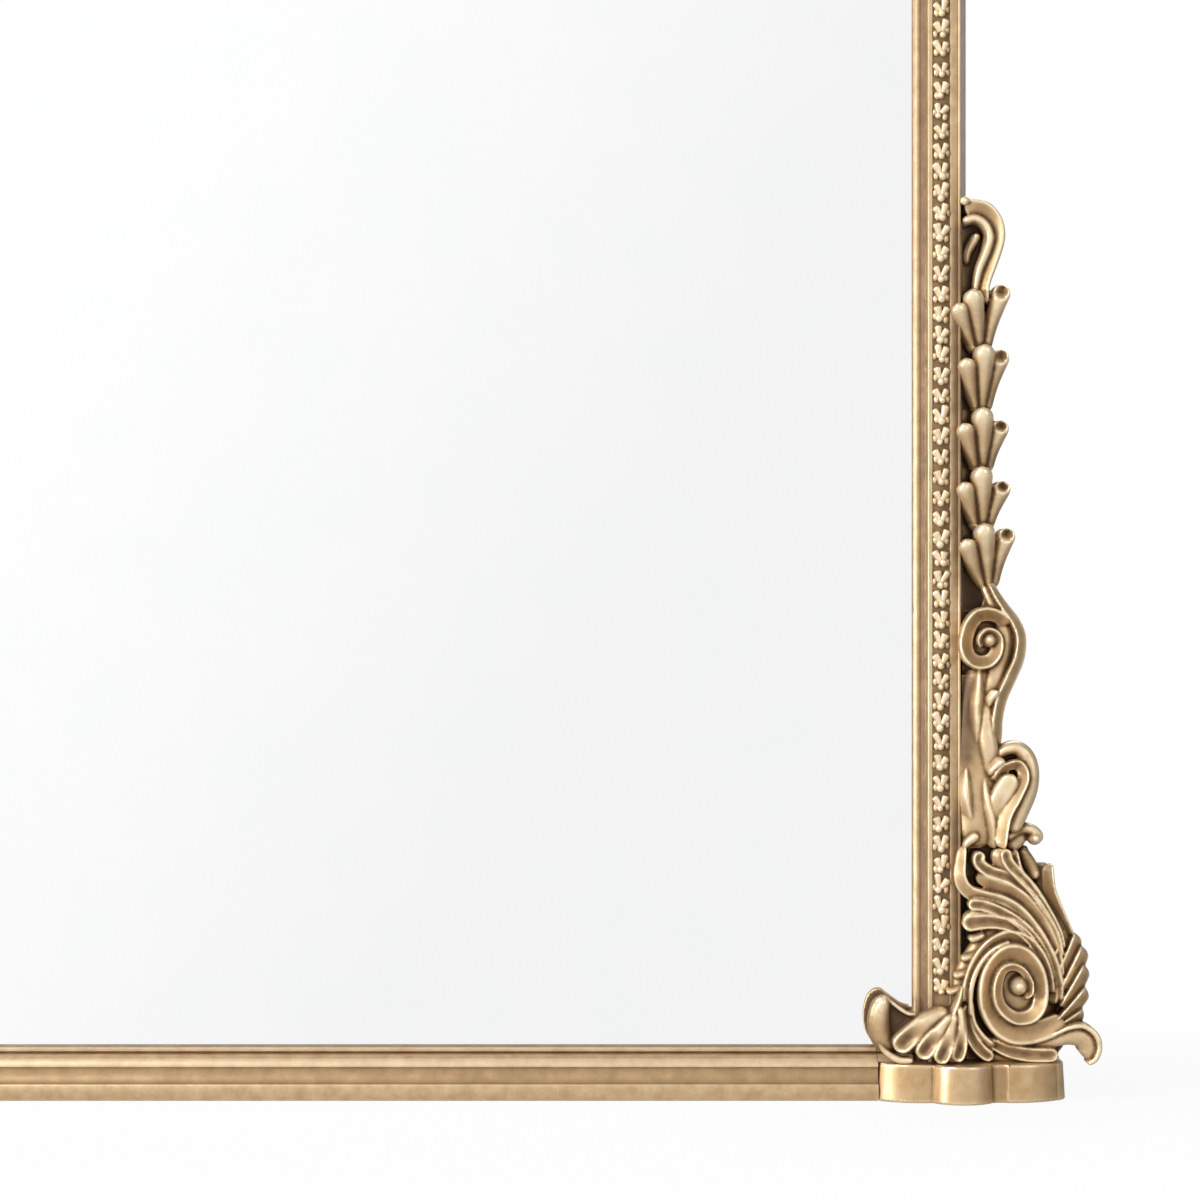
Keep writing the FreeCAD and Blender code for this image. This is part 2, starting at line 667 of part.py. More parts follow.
bracket.append(volute(corner, (7.4, 177.2), 0, 1.0, -1, 4.0, 9.0, 1.0, 4.0, 2))
bracket.append(eye(corner, (7.6, 177.2), value("volute_eye") * 0.7, 3))
bracket_zone = zone(corner, SPLIT, 70, 90.8 + SEAT, 198.4, BACK, FRONT)
nodes += both_sides(carved("right_scroll_bracket", bracket, bracket_zone, stile_room))

# Husk drop: three-lobed husks in a chain, with a curl at its head
CHAIN_FOOT = 198.6
chain_line = 5.2
chain_length = value("husk_pitch * (husk_count - 1) + husk_length")
chain_top = CHAIN_FOOT + chain_length
husks = [backing(corner, (-6.0, CHAIN_FOOT), [
    ((9.5, CHAIN_FOOT),),
    ((9.5, chain_top - 5.0),),
    ((13.4, chain_top + 5.4), (12.6, chain_top + 19.0)),
    ((11.0, chain_top + 31.0), (0.5, chain_top + 35.0)),
    ((-6.0, chain_top + 35.0),),
], BACK, PLATE - 2)]
for number in range(int(value("husk_count"))):
    foot_line = CHAIN_FOOT + number * value("husk_pitch")
    head_line = foot_line + value("husk_length")
    middle_line = (foot_line + head_line) / 2
    husks.append(leaf(
        corner, (chain_line, foot_line), (chain_line + 0.2, middle_line), (chain_line, head_line),
        value("husk_width"), -2))
    husks.append(leaf(
        corner, (chain_line - 1.8, foot_line + 3), (-0.6, middle_line), (-2.4, head_line - 7),
        value("husk_lobe"), -4))
    husks.append(leaf(
        corner, (chain_line + 2.0, foot_line + 3), (11.4, middle_line), (15.4, head_line - 4.5),
        value("husk_lobe"), -4))
CURL_LEAVES = [
    ((5.5, -6.0), (12.2, 10.0), (13.1, 24.2), 5.5, -3),
    ((13.3, 21.7), (9.3, 32.8), (-1.8, 34.2), 5.9, -3),
    ((-1.5, 22.6), (5.1, 26.8), (9.7, 18.4), 3.6, -4),
    ((2.1, -1.8), (3.8, 10.0), (4.2, 17.9), 4.6, -4),
]
for start, via, tip, width, lift in CURL_LEAVES:
    points = [(across, up + chain_top) for across, up in (start, via, tip)]
    husks.append(leaf(corner, *points, width, lift))
husk_zone = zone(corner, SPLIT, 70, CHAIN_FOOT, chain_top + 60, BACK, FRONT)
nodes += both_sides(carved("right_husk_drop", husks, husk_zone, stile_room))

# Crest: a palmette on the crown of the arch between two scrolls with trailing leaves
crown = Vector(0, 0, value("crown_height"))
CREST_HALF = 15.0
fan_root = 10.0
palmette = [backing(crown, (-CREST_HALF, -12.0), [
    ((CREST_HALF, -12.0),),
    ((CREST_HALF, 30.0),),
    ((0.0, 52.0), (-CREST_HALF, 30.0)),
], BACK, PLATE)]
for number in range(-2, 3):
    lean = math.radians(value("crest_fan_angle")) * number
    reach = value("crest_height") - fan_root - value("crest_fan_step") * abs(number)
    spread = [
        (share * reach * math.sin(lean * bend), fan_root + share * reach * math.cos(lean * bend))
        for share, bend in ((0.12, 0.8), (0.6, 0.8), (1.0, 1.0))
    ]
    palmette.append(leaf(crown, *spread, value("crest_leaf"), 2 - abs(number) * 0.6))
palmette.append(eye(crown, (0.0, fan_root), 8.0, 0))
palmette.append(leaf(crown, (0.0, 8.0), (0.0, -4.0), (0.0, -18.0), 13.0, 4))
palmette_zone = zone(crown, -70, 70, -40, 120, BACK, FRONT)
CREST_VOLUTE = (58.0, 22.0)
CREST_LEAVES = [
    ((24.0, 3.0), (40.0, 0.0), (60.0, 4.0), 8.0, 1),
    ((52.0, 1.0), (88.0, 2.0), (126.0, -20.0), 9.0, 0),
    ((64.0, 8.0), (94.0, 14.0), (116.0, 0.0), 8.0, -1),
    ((70.0, 16.0), (90.0, 28.0), (108.0, 20.0), 7.5, -1),
    ((66.0, 34.0), (82.0, 46.0), (98.0, 42.0), 7.0, -2),
    ((118.0, -12.0), (142.0, -22.0), (158.0, -40.0), 6.0, -2),
]
crest = [backing(crown, (24.0, -6.0), [
    ((24.0, 14.0),),
    ((38.0, 44.0), (64.0, 42.0)),
    ((86.0, 34.0), (100.0, 18.0)),
    ((120.0, 2.0), (150.0, -32.0)),
    ((140.0, -34.0),),
], BACK, PLATE)]
crest += [leaf(crown, *numbers) for numbers in CREST_LEAVES]
crest.append(volute(crown, CREST_VOLUTE, 200, 1.55, -1, 6.0, 7.5, 1.0, 4.6, 5))
crest.append(eye(crown, CREST_VOLUTE, value("volute_eye"), 7))
crest.append(boss(crown, CREST_VOLUTE, 16.0, 7.0, 24.0))
crest_zone = zone(crown, 0, 200, -60, 120, BACK, FRONT)
nodes += both_sides(carved("right_crest_scroll", crest, crest_zone, arch_room))
nodes.append(carved("crest_palmette", palmette, palmette_zone, arch_room))

# Glass, felt and board are panes of one outline at three depths
def pane(label, back, thickness):
    body = new_body(label)
    outline = new_sketch(body, "XZ_Plane", back)
    draw(outline, [
        ("-pane_half_width", "pane_bottom"),
        ("pane_half_width", "pane_bottom"),
        ("pane_half_width", "spring_height", HALF_ROUND, 1),
        ("-pane_half_width", "spring_height"),
    ])
    pad(body, outline, thickness)
    return body


nodes.append(pane("backing_board", "0", "board_thickness"))
nodes.append(pane("felt_liner", "board_thickness", "felt_thickness"))
nodes.append(pane("mirror_glass", "board_thickness + felt_thickness", "glass_thickness"))


# Setting blocks, dowels, bumpers and screws: like pieces share one node
def block(label, across):
    item = doc.addObject("Part::Box", label)
    item.setExpression("Length", bound("block_length"))
    item.setExpression("Width", bound("glass_thickness"))
    item.setExpression("Height", bound("pane_gap"))
    depth = "-(board_thickness + felt_thickness + glass_thickness)"
    place(item, f"{across} - block_length / 2", depth, "rail_height - rabbet_width")
    return item


def rod(label, radius, length, turn, across, along, up):
    item = doc.addObject("Part::Cylinder", label)
    item.Placement = Placement(Vector(), turn)
    item.setExpression("Radius", bound(radius))
    item.setExpression("Height", bound(length))
    place(item, across, along, up)
    return item


UPWARD = Rotation()
RIGHTWARD = Rotation(Vector(0, 1, 0), 90)
WALLWARD = Rotation(Vector(1, 0, 0), -90)

nodes.append(group("setting_blocks", [block(f"block_{side}", sign + "block_place")
                                      for side, sign in (("right", ""), ("left", "-"))]))

dowels = []
half = "dowel_length / 2"
for depth in ("dowel_back", "dowel_front"):
    for sign in ("", "-"):
        for joint in ("plinth_height", "spring_height"):
            dowels.append(rod(
                "dowel", "dowel_radius", "dowel_length", UPWARD,
                sign + "dowel_line", f"-{depth}", f"{joint} - {half}"))
        dowels.append(rod(
            "dowel", "dowel_radius", "dowel_length", RIGHTWARD,
            f"{sign}plinth_inner - {half}", f"-{depth}", "rail_dowel_height"))
    dowels.append(rod(
        "dowel", "dowel_radius", "dowel_length", RIGHTWARD,
        f"-{half}", f"-{depth}", "spring_height + dowel_line"))
nodes.append(group("frame_dowels", dowels))

nodes.append(group("wall_bumpers", [
    rod("bumper", "bumper_radius", "bumper_thickness", WALLWARD, sign + "band_middle", "0", "bumper_height")
    for sign in ("", "-")
]))


def screw(label, across, up, seat):
    """Pan-head screw driven from the back, its head standing on the seat."""
    head = rod(label + "_head", "screw_head", "screw_head_height", WALLWARD, across, seat, up)
    shank = rod(label + "_shank", "screw_shank", f"screw_depth + {seat}", WALLWARD, across, "-screw_depth", up)
    item = doc.addObject("Part::Fuse", label)
    item.Base = head
    item.Tool = shank
    return item


button_pivots = {
    "rail": ("rail_button_place", "plinth_height / 2", 0),
    "stile": ("band_middle", "stile_button_height", -90),
}
for name, angle, centre in zip(("arch_low", "arch_high"), ("arch_button_low", "arch_button_high"), arch_screws):
    button_pivots[name] = (*centre, -90 - value(angle))
button_top = "button_thickness + 2 * button_play"
button_screws = [
    screw(f"button_screw_{name}_{side}", sign + across, up, button_top)
    for name, (across, up, _) in button_pivots.items()
    for side, sign in (("right", ""), ("left", "-"))
]
nodes.append(group("button_screws", button_screws))

# Turn buttons: a slotted plate that swings on its screw and reaches over the board
for name, (across, up, turn) in button_pivots.items():
    button = new_body(f"right_{name}_button")
    outline = new_sketch(button, "XZ_Plane", "-button_play")
    draw(outline, [
        ("-button_width / 2", "-button_tail + button_width / 2"),
        ("-button_width / 2 + button_tail", "-button_tail"),
        ("button_width / 2 - button_tail + 1", "-button_tail"),
        ("button_width / 2", "-button_tail + button_width / 2"),
        ("button_width / 2", "button_reach - button_width / 2", HALF_ROUND, 1),
        ("-button_width / 2", "button_reach - button_width / 2"),
    ])
    pad(button, outline, "button_thickness", reverse=True)
    drill(button, "XZ_Plane", "-button_play", [("0", "0")], "screw_shank + pivot_play", "button_thickness")
    button.Placement = Placement(Vector(), Rotation(Vector(0, 1, 0), turn))
    place(button, across, "0", up)
    nodes += both_sides(button)

# Hangers: a strap rolled round the bar of a D-ring that hangs down at rest
strap = new_body("right_hanger_strap")
loop = new_sketch(strap, "YZ_Plane")
draw_circles(loop, [("ring_axis", "0")], "ring_axis")
draw_circles(loop, [("ring_axis", "0")], "ring_wire + ring_play")
pad(strap, loop, "strap_width", both_ways=True)
leg = new_sketch(strap, "XZ_Plane")
draw(leg, [
    ("-strap_width / 2", "0"),
    ("-strap_width / 2", "strap_width / 2 - strap_length", HALF_ROUND, 1),
    ("strap_width / 2", "strap_width / 2 - strap_length"),
    ("strap_width / 2", "0"),
])
pad(strap, leg, "strap_thickness", reverse=True)
strap_holes = [("0", "-strap_screw_first"), ("0", "-strap_screw_second")]
drill(strap, "XZ_Plane", "0", strap_holes, PILOT_HOLE, "strap_thickness")
place(strap, "band_middle", "0", "hanger_height")
nodes += both_sides(strap)

ring = new_body("right_d_ring")
path = new_sketch(ring, "XZ_Plane", "-ring_axis")
draw(path, [
    ("-ring_bar", "0", "ring_corner", 1),
    ("-ring_bow", "-ring_corner", HALF_ROUND, 1),
    ("ring_bow", "-ring_corner", "ring_corner", 1),
    ("ring_bar", "0"),
])
wire = new_sketch(ring, "YZ_Plane")
draw_circles(wire, [("ring_axis", "0")], "ring_wire")
bend = ring.newObject("PartDesign::AdditivePipe", "right_d_ring_bend")
bend.Profile = wire
bend.Spine = path
place(ring, "band_middle", "0", "hanger_height")
nodes += both_sides(ring)

nodes.append(group("hanger_screws", [
    screw(f"hanger_screw_{side}_{number}", sign + "band_middle", f"hanger_height - {drop}", "strap_thickness")
    for side, sign in (("right", ""), ("left", "-"))
    for number, drop in enumerate(("strap_screw_first", "strap_screw_second"), 1)
]))

# Every piece is sound before it is written out
doc.recompute()
faults = [item.Name for item in doc.Objects if {"Invalid", "Error"} & set(item.State)]
faults += [node.Label for node in nodes if node.Shape.isNull() or not node.Shape.isValid()]
if faults:
    raise RuntimeError("unsound pieces: " + ", ".join(faults))
for node in nodes:
    node.Shape.exportStep(f"parts/{node.Label}.step")
    print(node.Label, len(node.Shape.Solids), round(node.Shape.Volume))
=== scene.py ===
import json
import math
import random

import bmesh
import bpy
import numpy as np
from mathutils import Matrix, Vector


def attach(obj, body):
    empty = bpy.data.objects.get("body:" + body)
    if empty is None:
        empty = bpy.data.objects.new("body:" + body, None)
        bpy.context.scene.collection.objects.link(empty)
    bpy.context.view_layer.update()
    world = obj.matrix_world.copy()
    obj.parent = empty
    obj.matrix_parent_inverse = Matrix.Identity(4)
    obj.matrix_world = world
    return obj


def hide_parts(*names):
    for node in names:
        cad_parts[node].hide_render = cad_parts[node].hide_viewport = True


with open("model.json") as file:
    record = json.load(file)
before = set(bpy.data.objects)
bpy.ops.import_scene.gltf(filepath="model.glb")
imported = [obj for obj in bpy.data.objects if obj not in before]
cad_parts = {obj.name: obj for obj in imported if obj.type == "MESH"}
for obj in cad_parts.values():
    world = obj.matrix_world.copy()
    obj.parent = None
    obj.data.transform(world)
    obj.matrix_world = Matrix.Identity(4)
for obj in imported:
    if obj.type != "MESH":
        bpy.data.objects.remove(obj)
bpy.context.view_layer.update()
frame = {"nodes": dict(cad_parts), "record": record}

MM = 0.001
QUARTER = math.pi / 2

# Main lines of the frame in millimetres, as in the solids
SIGHT = 304.0
SPRING = 472.0
FOOT = 16.0
FACE = 20.0
SPLAY = 4.0
EDGE = SIGHT + FACE + SPLAY
CROWN = SPRING + EDGE
CHANNEL_START = 7.8
CHANNEL_WIDTH = 7.4
CHANNEL_FLOOR = 19.6
PLINTH_INNER = 289.0
PLINTH_OUTER = 368.0
STRIP_FRONT = 20.1
STRIP_FOOT = FOOT + 28.0
STRIP_PITCH = 8.5


# Meshes
def placed(name, data):
    """A new object in the scene."""
    obj = bpy.data.objects.new(name, data)
    bpy.context.collection.objects.link(obj)
    return obj


def built(name, work, material, anchor=(0, 0)):
    """An object from what was drawn in millimetres round an anchor on the frame."""
    bmesh.ops.recalc_face_normals(work, faces=work.faces)
    mesh = bpy.data.meshes.new(name)
    work.to_mesh(mesh)
    work.free()
    mesh.transform(Matrix.Translation((anchor[0] * MM, 0, anchor[1] * MM)) @ Matrix.Scale(MM, 4))
    mesh.materials.append(material)
    return placed(name, mesh)


def skin(work, rings):
    """Skin over rings of points that close on themselves, with both ends capped."""
    rings = [[work.verts.new(point) for point in ring] for ring in rings]
    for first, second in zip(rings, rings[1:]):
        for k in range(len(first)):
            ahead = (k + 1) % len(first)
            work.faces.new((first[k], first[ahead], second[ahead], second[k]))
    work.faces.new(rings[0][::-1])
    work.faces.new(rings[-1])


def shade(obj, angle):
    """Smooth shading, with edges sharper than the angle kept."""
    obj.data.polygons.foreach_set("use_smooth", [True] * len(obj.data.polygons))
    obj.data.set_sharp_from_angle(angle=math.radians(angle))


def vectors(mesh, field):
    """A field of three numbers for each point, as rows."""
    values = np.empty(len(mesh.vertices) * 3)
    mesh.vertices.foreach_get(field, values)
    return values.reshape(-1, 3)


def store(mesh, name, values):
    """Keeps a number for each point, for the materials."""
    layer = mesh.attributes.new(name, "FLOAT", "POINT")
    layer.data.foreach_set("value", values.astype(np.float32))


def relief(obj, fine, broad, glaze_and_painted_light=None):
    """Stores how far each point stands proud of its surroundings, at two scales, for the patina.

    The two scales are rounds of smoothing; an optional function adds brown glaze, painted shade and painted highlights
    by place.
    """
    mesh = obj.data
    places, normals = vectors(mesh, "co"), vectors(mesh, "normal")
    count = len(places)
    edges = np.empty(len(mesh.edges) * 2, dtype=np.int64)
    mesh.edges.foreach_get("vertices", edges)
    edges = edges.reshape(-1, 2)
    here, there = edges.T.ravel(), edges[:, ::-1].T.ravel()
    degree = np.maximum(np.bincount(here, minlength=count), 1)
    smooth = places.copy()
    for name, rounds in (("fine", fine), ("broad", broad)):
        for _ in range(rounds):
            gathered = [np.bincount(here, weights=smooth[there, axis], minlength=count) for axis in range(3)]
            smooth = 0.4 * smooth + 0.6 * np.stack(gathered, 1) / degree[:, None]
        proud = ((places - smooth) * normals).sum(1) / MM
        # Brown glaze, painted shade and painted highlights by place, on the broad scale
        if glaze_and_painted_light and name == "broad":
            proud -= glaze_and_painted_light(places)
        store(mesh, name, proud)


def finish_piece(obj, nodes, body="frame"):
    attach(obj, body)
    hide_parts(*nodes)


def finish_pair(obj, node):
    """The right-hand piece and a mirrored left-hand twin, each in place of its own node."""
    finish_piece(obj, [f"right_{node}"])
    twin = obj.copy()
    mesh = twin.data = obj.data.copy()
    mesh.name = twin.name = obj.name.replace("right", "left")
    bpy.context.collection.objects.link(twin)
    places = vectors(mesh, "co")
    places[:, 0] *= -1
    mesh.vertices.foreach_set("co", places.ravel())
    mesh.flip_normals()
    mesh.update()
    finish_piece(twin, [f"left_{node}"])


# Materials
def nodes_of(name):
    material = bpy.data.materials.new(name)
    material.use_nodes = True
    tree = material.node_tree
    return material, tree, tree.nodes["Principled BSDF"]


def fill(tree, node, inputs):
    """Links each input to another node's output, or sets it."""
    for key, content in inputs.items():
        if isinstance(content, bpy.types.NodeSocket):
            tree.links.new(content, node.inputs[key])
        else:
            node.inputs[key].default_value = content


def make(tree, kind, inputs=None, **settings):
    """A new node with its settings and inputs."""
    node = tree.nodes.new(kind)
    for key, content in settings.items():
        setattr(node, key, content)
    fill(tree, node, inputs or {})
    return node


def noise(tree, scale, detail=4.0, rough=0.55, stretch=(1, 1, 1)):
    place = make(tree, "ShaderNodeTexCoord").outputs["Object"]
    place = make(tree, "ShaderNodeMapping", {"Vector": place, "Scale": stretch}).outputs["Vector"]
    pattern = {"Vector": place, "Scale": scale, "Detail": detail, "Roughness": rough}
    return make(tree, "ShaderNodeTexNoise", pattern).outputs["Fac"]


def ramp(tree, source, stops):
    node = make(tree, "ShaderNodeValToRGB", {"Fac": source})
    band = node.color_ramp
    while len(band.elements) < len(stops):
        band.elements.new(0.5)
    for element, (place, colour) in zip(band.elements, stops):
        element.position = place
        element.color = (*colour, 1)
    return node.outputs["Color"]


def tones(tree, pattern, dark, light):
    """Two tones, mixed where the pattern is near its middle."""
    return ramp(tree, pattern, [(0.3, dark), (0.7, light)])


def spread(tree, source, low, high, new_low, new_high):
    span = {"Value": source, "From Min": low, "From Max": high, "To Min": new_low, "To Max": new_high}
    return make(tree, "ShaderNodeMapRange", span).outputs["Result"]


def math_node(tree, operation, first, second):
    return make(tree, "ShaderNodeMath", {0: first, 1: second}, operation=operation).outputs[0]


def blend(tree, share, first, second, kind="MIX"):
    colours = {0: share, 6: first, 7: second}
    return make(tree, "ShaderNodeMix", colours, data_type="RGBA", blend_type=kind).outputs[2]


def mix_shader(tree, share, first, second):
    return make(tree, "ShaderNodeMixShader", {0: share, 1: first, 2: second}).outputs["Shader"]


def bump(tree, shader, source, strength, distance):
    node = make(tree, "ShaderNodeBump", {"Height": source, "Strength": strength, "Distance": distance})
    fill(tree, shader, {"Normal": node.outputs["Normal"]})


GOLD_HOLLOW = (0.085, 0.038, 0.009)
GOLD_EDGE = (0.88, 0.70, 0.46)
GLAZE = (0.44, 0.40, 0.34)
# Pale grey tones of the painted reflection on the stile's splayed side
SIDE_REFLECTION_TONES = (0.50, 0.41, 0.35), (0.66, 0.56, 0.50)
DUST_TONES = (0.75, 0.72, 0.68), (1, 1, 1)
DUST_SHARE = 0.35
BLOTCH_SCALE = 160
GRAIN_SCALE = 1500
# Relief in millimetres that moves the tone by its full share, either way
FINE_SPAN, FINE_SHARE = 0.16, 0.4
BROAD_SPAN, BROAD_SHARE = 1.2, 0.45


def antique_gold(name, tone, edge, metal, rough, tooth=0.25):
    """Gold over brown: the hollows keep the brown glaze and the high edges are rubbed bright."""
    material, tree, shader = nodes_of(name)
    fine, broad, side_reflection = (make(tree, "ShaderNodeAttribute", attribute_name=key).outputs["Fac"]
                         for key in ("fine", "broad", "side_reflection"))
    blotch = noise(tree, BLOTCH_SCALE, 5)
    grain = noise(tree, GRAIN_SCALE, 3)
    height = math_node(tree, "ADD", spread(tree, fine, -FINE_SPAN, FINE_SPAN, -FINE_SHARE, FINE_SHARE),
                       spread(tree, broad, -BROAD_SPAN, BROAD_SPAN, -BROAD_SHARE, BROAD_SHARE))
    height = math_node(tree, "ADD", height, spread(tree, blotch, 0.2, 0.8, 0.40, 0.60))
    glazed = tuple(share * c for share, c in zip(GLAZE, tone))
    colour = ramp(tree, height, [(0.0, GOLD_HOLLOW), (0.25, glazed), (0.5, tone), (0.85, edge)])
    # The painted reflection makes the stile's splayed side pale grey where its attribute is set
    colour = blend(tree, side_reflection, colour, tones(tree, blotch, *SIDE_REFLECTION_TONES))
    colour = blend(tree, DUST_SHARE, colour, tones(tree, grain, *DUST_TONES), "MULTIPLY")
    worn = math_node(tree, "ADD", height, spread(tree, grain, 0.2, 0.8, -0.2, 0.2))
    fill(tree, shader, {"Base Color": colour, "Metallic": spread(tree, height, 0.1, 0.45, 0.15, metal),
                        "Roughness": spread(tree, worn, 0.1, 0.9, rough + 0.25, rough - 0.06)})
    bump(tree, shader, math_node(tree, "ADD", blotch, math_node(tree, "MULTIPLY", grain, 0.5)), tooth, 0.0004)
    return material


gold_wood = antique_gold("gilt_wood", (0.47, 0.310, 0.160), GOLD_EDGE, 0.5, 0.32)
gold_plinth = antique_gold("gilt_plinth", (0.53, 0.345, 0.170), GOLD_EDGE, 0.62, 0.27, 0.06)
gold_resin = antique_gold("gilt_resin", (0.53, 0.355, 0.185), (0.92, 0.75, 0.50), 0.5, 0.34)


def plain(name, pattern, tint, rough, tooth=None, cloud=None, metal=0.0):
    """Tone, roughness and tooth follow one pattern; a cloud lays other tones over it by a share."""
    material, tree, shader = nodes_of(name)
    pattern = noise(tree, *pattern)
    colour = tones(tree, pattern, *tint)
    if cloud:
        share, scale, detail, over = cloud
        colour = blend(tree, share, colour, tones(tree, noise(tree, scale, detail), *over))
    fill(tree, shader, {"Base Color": colour, "Metallic": metal, "Roughness": spread(tree, pattern, *rough)})
    if tooth:
        bump(tree, shader, pattern, *tooth)
    return material


BOARD_CLOUD = (0.20, 0.13, 0.075), (0.29, 0.195, 0.12)
STEEL_TONES = (0.46, 0.44, 0.39), (0.62, 0.60, 0.54)
SLOT_MATERIALS = {"gilt_wood": gold_wood, "gilt_resin": gold_resin}
for name, pattern, tint, rough, more in (
    ("silvered_glass", (30, 3), ((0.955, 0.96, 0.962), (0.97, 0.972, 0.972)), (0.3, 0.7, 0.012, 0.02),
     {"metal": 1.0}),
    ("board", (420, 6, 0.7), ((0.17, 0.105, 0.058), (0.30, 0.20, 0.12)), (0.2, 0.8, 0.72, 0.9),
     {"tooth": (0.35, 0.0003), "cloud": (0.5, 9, 4, BOARD_CLOUD)}),
    ("felt", (900, 6, 0.75), ((0.010, 0.010, 0.011), (0.032, 0.032, 0.034)), (0.2, 0.8, 0.95, 0.95),
     {"tooth": (0.6, 0.0004)}),
    ("beech", (60, 6, 0.6, (6, 6, 0.6)), ((0.36, 0.22, 0.11), (0.55, 0.38, 0.22)), (0.2, 0.8, 0.5, 0.7),
     {"tooth": (0.2, 0.0002)}),
    ("plated_steel", (900, 3, 0.5, (1, 1, 0.06)), STEEL_TONES, (0.2, 0.8, 0.26, 0.44),
     {"tooth": (0.15, 0.0001), "cloud": (1.0, 140, 4, STEEL_TONES), "metal": 1.0}),
    ("rubber", (700, 4), ((0.012, 0.012, 0.012), (0.03, 0.03, 0.03)), (0.2, 0.8, 0.6, 0.8),
     {"tooth": (0.3, 0.0002)}),
):
    SLOT_MATERIALS[name] = plain(name, pattern, tint, rough, **more)
slots = {item["node"]: item["material_slot"] for item in frame["record"]["subparts"]}
for name, obj in frame["nodes"].items():
    obj.data.materials.clear()
    obj.data.materials.append(SLOT_MATERIALS[slots[name]])


# Mouldings: a profile with softened corners is carried along a line or round the arch
def arc(start, end, radius, turn, steps=10):
    """Points of the shorter arc between two points; turn is 1 for a left-hand bend."""
    (ax, ay), (bx, by) = start, end
    chord = math.hypot(bx - ax, by - ay)
    reach = math.sqrt(max(radius**2 - chord**2 / 4, 0.0))
    cx = (ax + bx) / 2 - (by - ay) / chord * reach * turn
    cy = (ay + by) / 2 + (bx - ax) / chord * reach * turn
    first = math.atan2(ay - cy, ax - cx)
    sweep = (math.atan2(by - cy, bx - cx) - first) * turn % (2 * math.pi) * turn
    return [(cx + radius * math.cos(first + sweep * k / steps), cy + radius * math.sin(first + sweep * k / steps))
            for k in range(steps)]


def outline(corners):
    """Closed polygon; a corner with a radius and a turn starts an arc."""
    points = []
    for corner, following in zip(corners, corners[1:] + corners[:1]):
        points += arc(corner[:2], following[:2], *corner[2:]) if len(corner) > 2 else [corner]
    return points


def softened(points, radius, steps=4):
    """The same polygon with each corner that turns by more than 25 degrees rounded."""
    result = []
    places = [np.array(point) for point in points]
    for before, here, after in zip(places[-1:] + places, places, places[1:] + places[:1]):
        back, ahead = before - here, after - here
        lengths = np.linalg.norm(back), np.linalg.norm(ahead)
        cosine = float(back @ ahead / (lengths[0] * lengths[1]))
        turn = math.pi - math.acos(max(-1.0, min(1.0, cosine)))
        if turn < math.radians(25):
            result.append(tuple(here))
            continue
        cut = min(radius, 0.4 * min(lengths))
        enter = here + back / lengths[0] * cut
        leave = here + ahead / lengths[1] * cut
        for k in range(steps + 1):
            t = k / steps
            result.append(tuple((1 - t) ** 2 * enter + 2 * t * (1 - t) * here + t * t * leave))
    return result


def divided(points, most):
    """The same polygon with no step longer than the given one."""
    result = []
    for here, after in zip(points, points[1:] + points[:1]):
        length = math.hypot(after[0] - here[0], after[1] - here[1])
        parts = max(1, math.ceil(length / most))
        result += [(here[0] + (after[0] - here[0]) * k / parts, here[1] + (after[1] - here[1]) * k / parts)
                   for k in range(parts)]
    return result


def drawn(corners, soft=0.35, most=0.6):
    """A profile or plan with softened corners and short steps."""
    return divided(softened(outline(corners), soft), most)


def winding(places):
    """1 for a polygon drawn to the left, -1 for one drawn to the right."""
    after = np.roll(places, -1, 0)
    return np.sign(np.sum(places[:, 0] * after[:, 1] - after[:, 0] * places[:, 1]))


# How far a profile looks round each point at the two scales, and how strongly relief and the painted shade and
# highlights count
PROFILE_REACHES = (0.55, 2.4)
PROFILE_GAIN = 0.24
PAINTED_LIGHT_GAIN = 0.8
# The painted reflection, a pale grey on the stile's splayed side, begins here and is full after this much more
SIDE_REFLECTION_START = 20.3
SIDE_REFLECTION_FADE = 0.4


def profile_relief(profile, glaze_and_painted_light):
    """How far each point of a closed profile stands proud, at two scales; painted shade and painted highlights are
    added by place.
    """
    places = np.array(profile)
    steps = np.linalg.norm(np.roll(places, -1, 0) - places, axis=1)
    weight = (steps + np.roll(steps, 1)) / 2
    run = np.concatenate([[0], np.cumsum(steps)[:-1]])
    gap = np.abs(run[:, None] - run[None, :])
    gap = np.minimum(gap, steps.sum() - gap)
    ahead = np.roll(places, -1, 0) - np.roll(places, 1, 0)
    normal = np.stack([ahead[:, 1], -ahead[:, 0]], 1) / np.linalg.norm(ahead, axis=1)[:, None]
    normal *= winding(places)
    values = []
    for reach in PROFILE_REACHES:
        share = np.exp(-0.5 * (gap / reach) ** 2) * weight
        share /= share.sum(1)[:, None]
        values.append(PROFILE_GAIN * ((places - share @ places) * normal).sum(1))
    # Painted shade and painted highlights by place
    values[1] -= PAINTED_LIGHT_GAIN * np.array([glaze_and_painted_light(*point) for point in profile])
    return values


def swept(name, profile, place, stations, glaze_and_painted_light, along=None, reflects_on_side=False):
    """Skin over one profile placed at each station, with painted shade and highlights by place; along adds more painted
    shade by place.
    """
    work = bmesh.new()
    rings = [[place(*point, at) for point in profile] for at in stations]
    skin(work, rings)
    obj = built(name, work, gold_wood)
    fine, broad = (np.tile(values, len(rings)) for values in profile_relief(profile, glaze_and_painted_light))
    # Painted reflection: the splayed side is made pale grey
    side_reflection = reflects_on_side * np.clip((np.array(profile)[:, 0] - SIDE_REFLECTION_START) / SIDE_REFLECTION_FADE, 0, 1)
    if along:
        broad -= along(np.concatenate(rings))
    for key, values in (("fine", fine), ("broad", broad), ("side_reflection", np.tile(side_reflection, len(rings)))):
        store(obj.data, key, values)
    shade(obj, 50)
    return obj


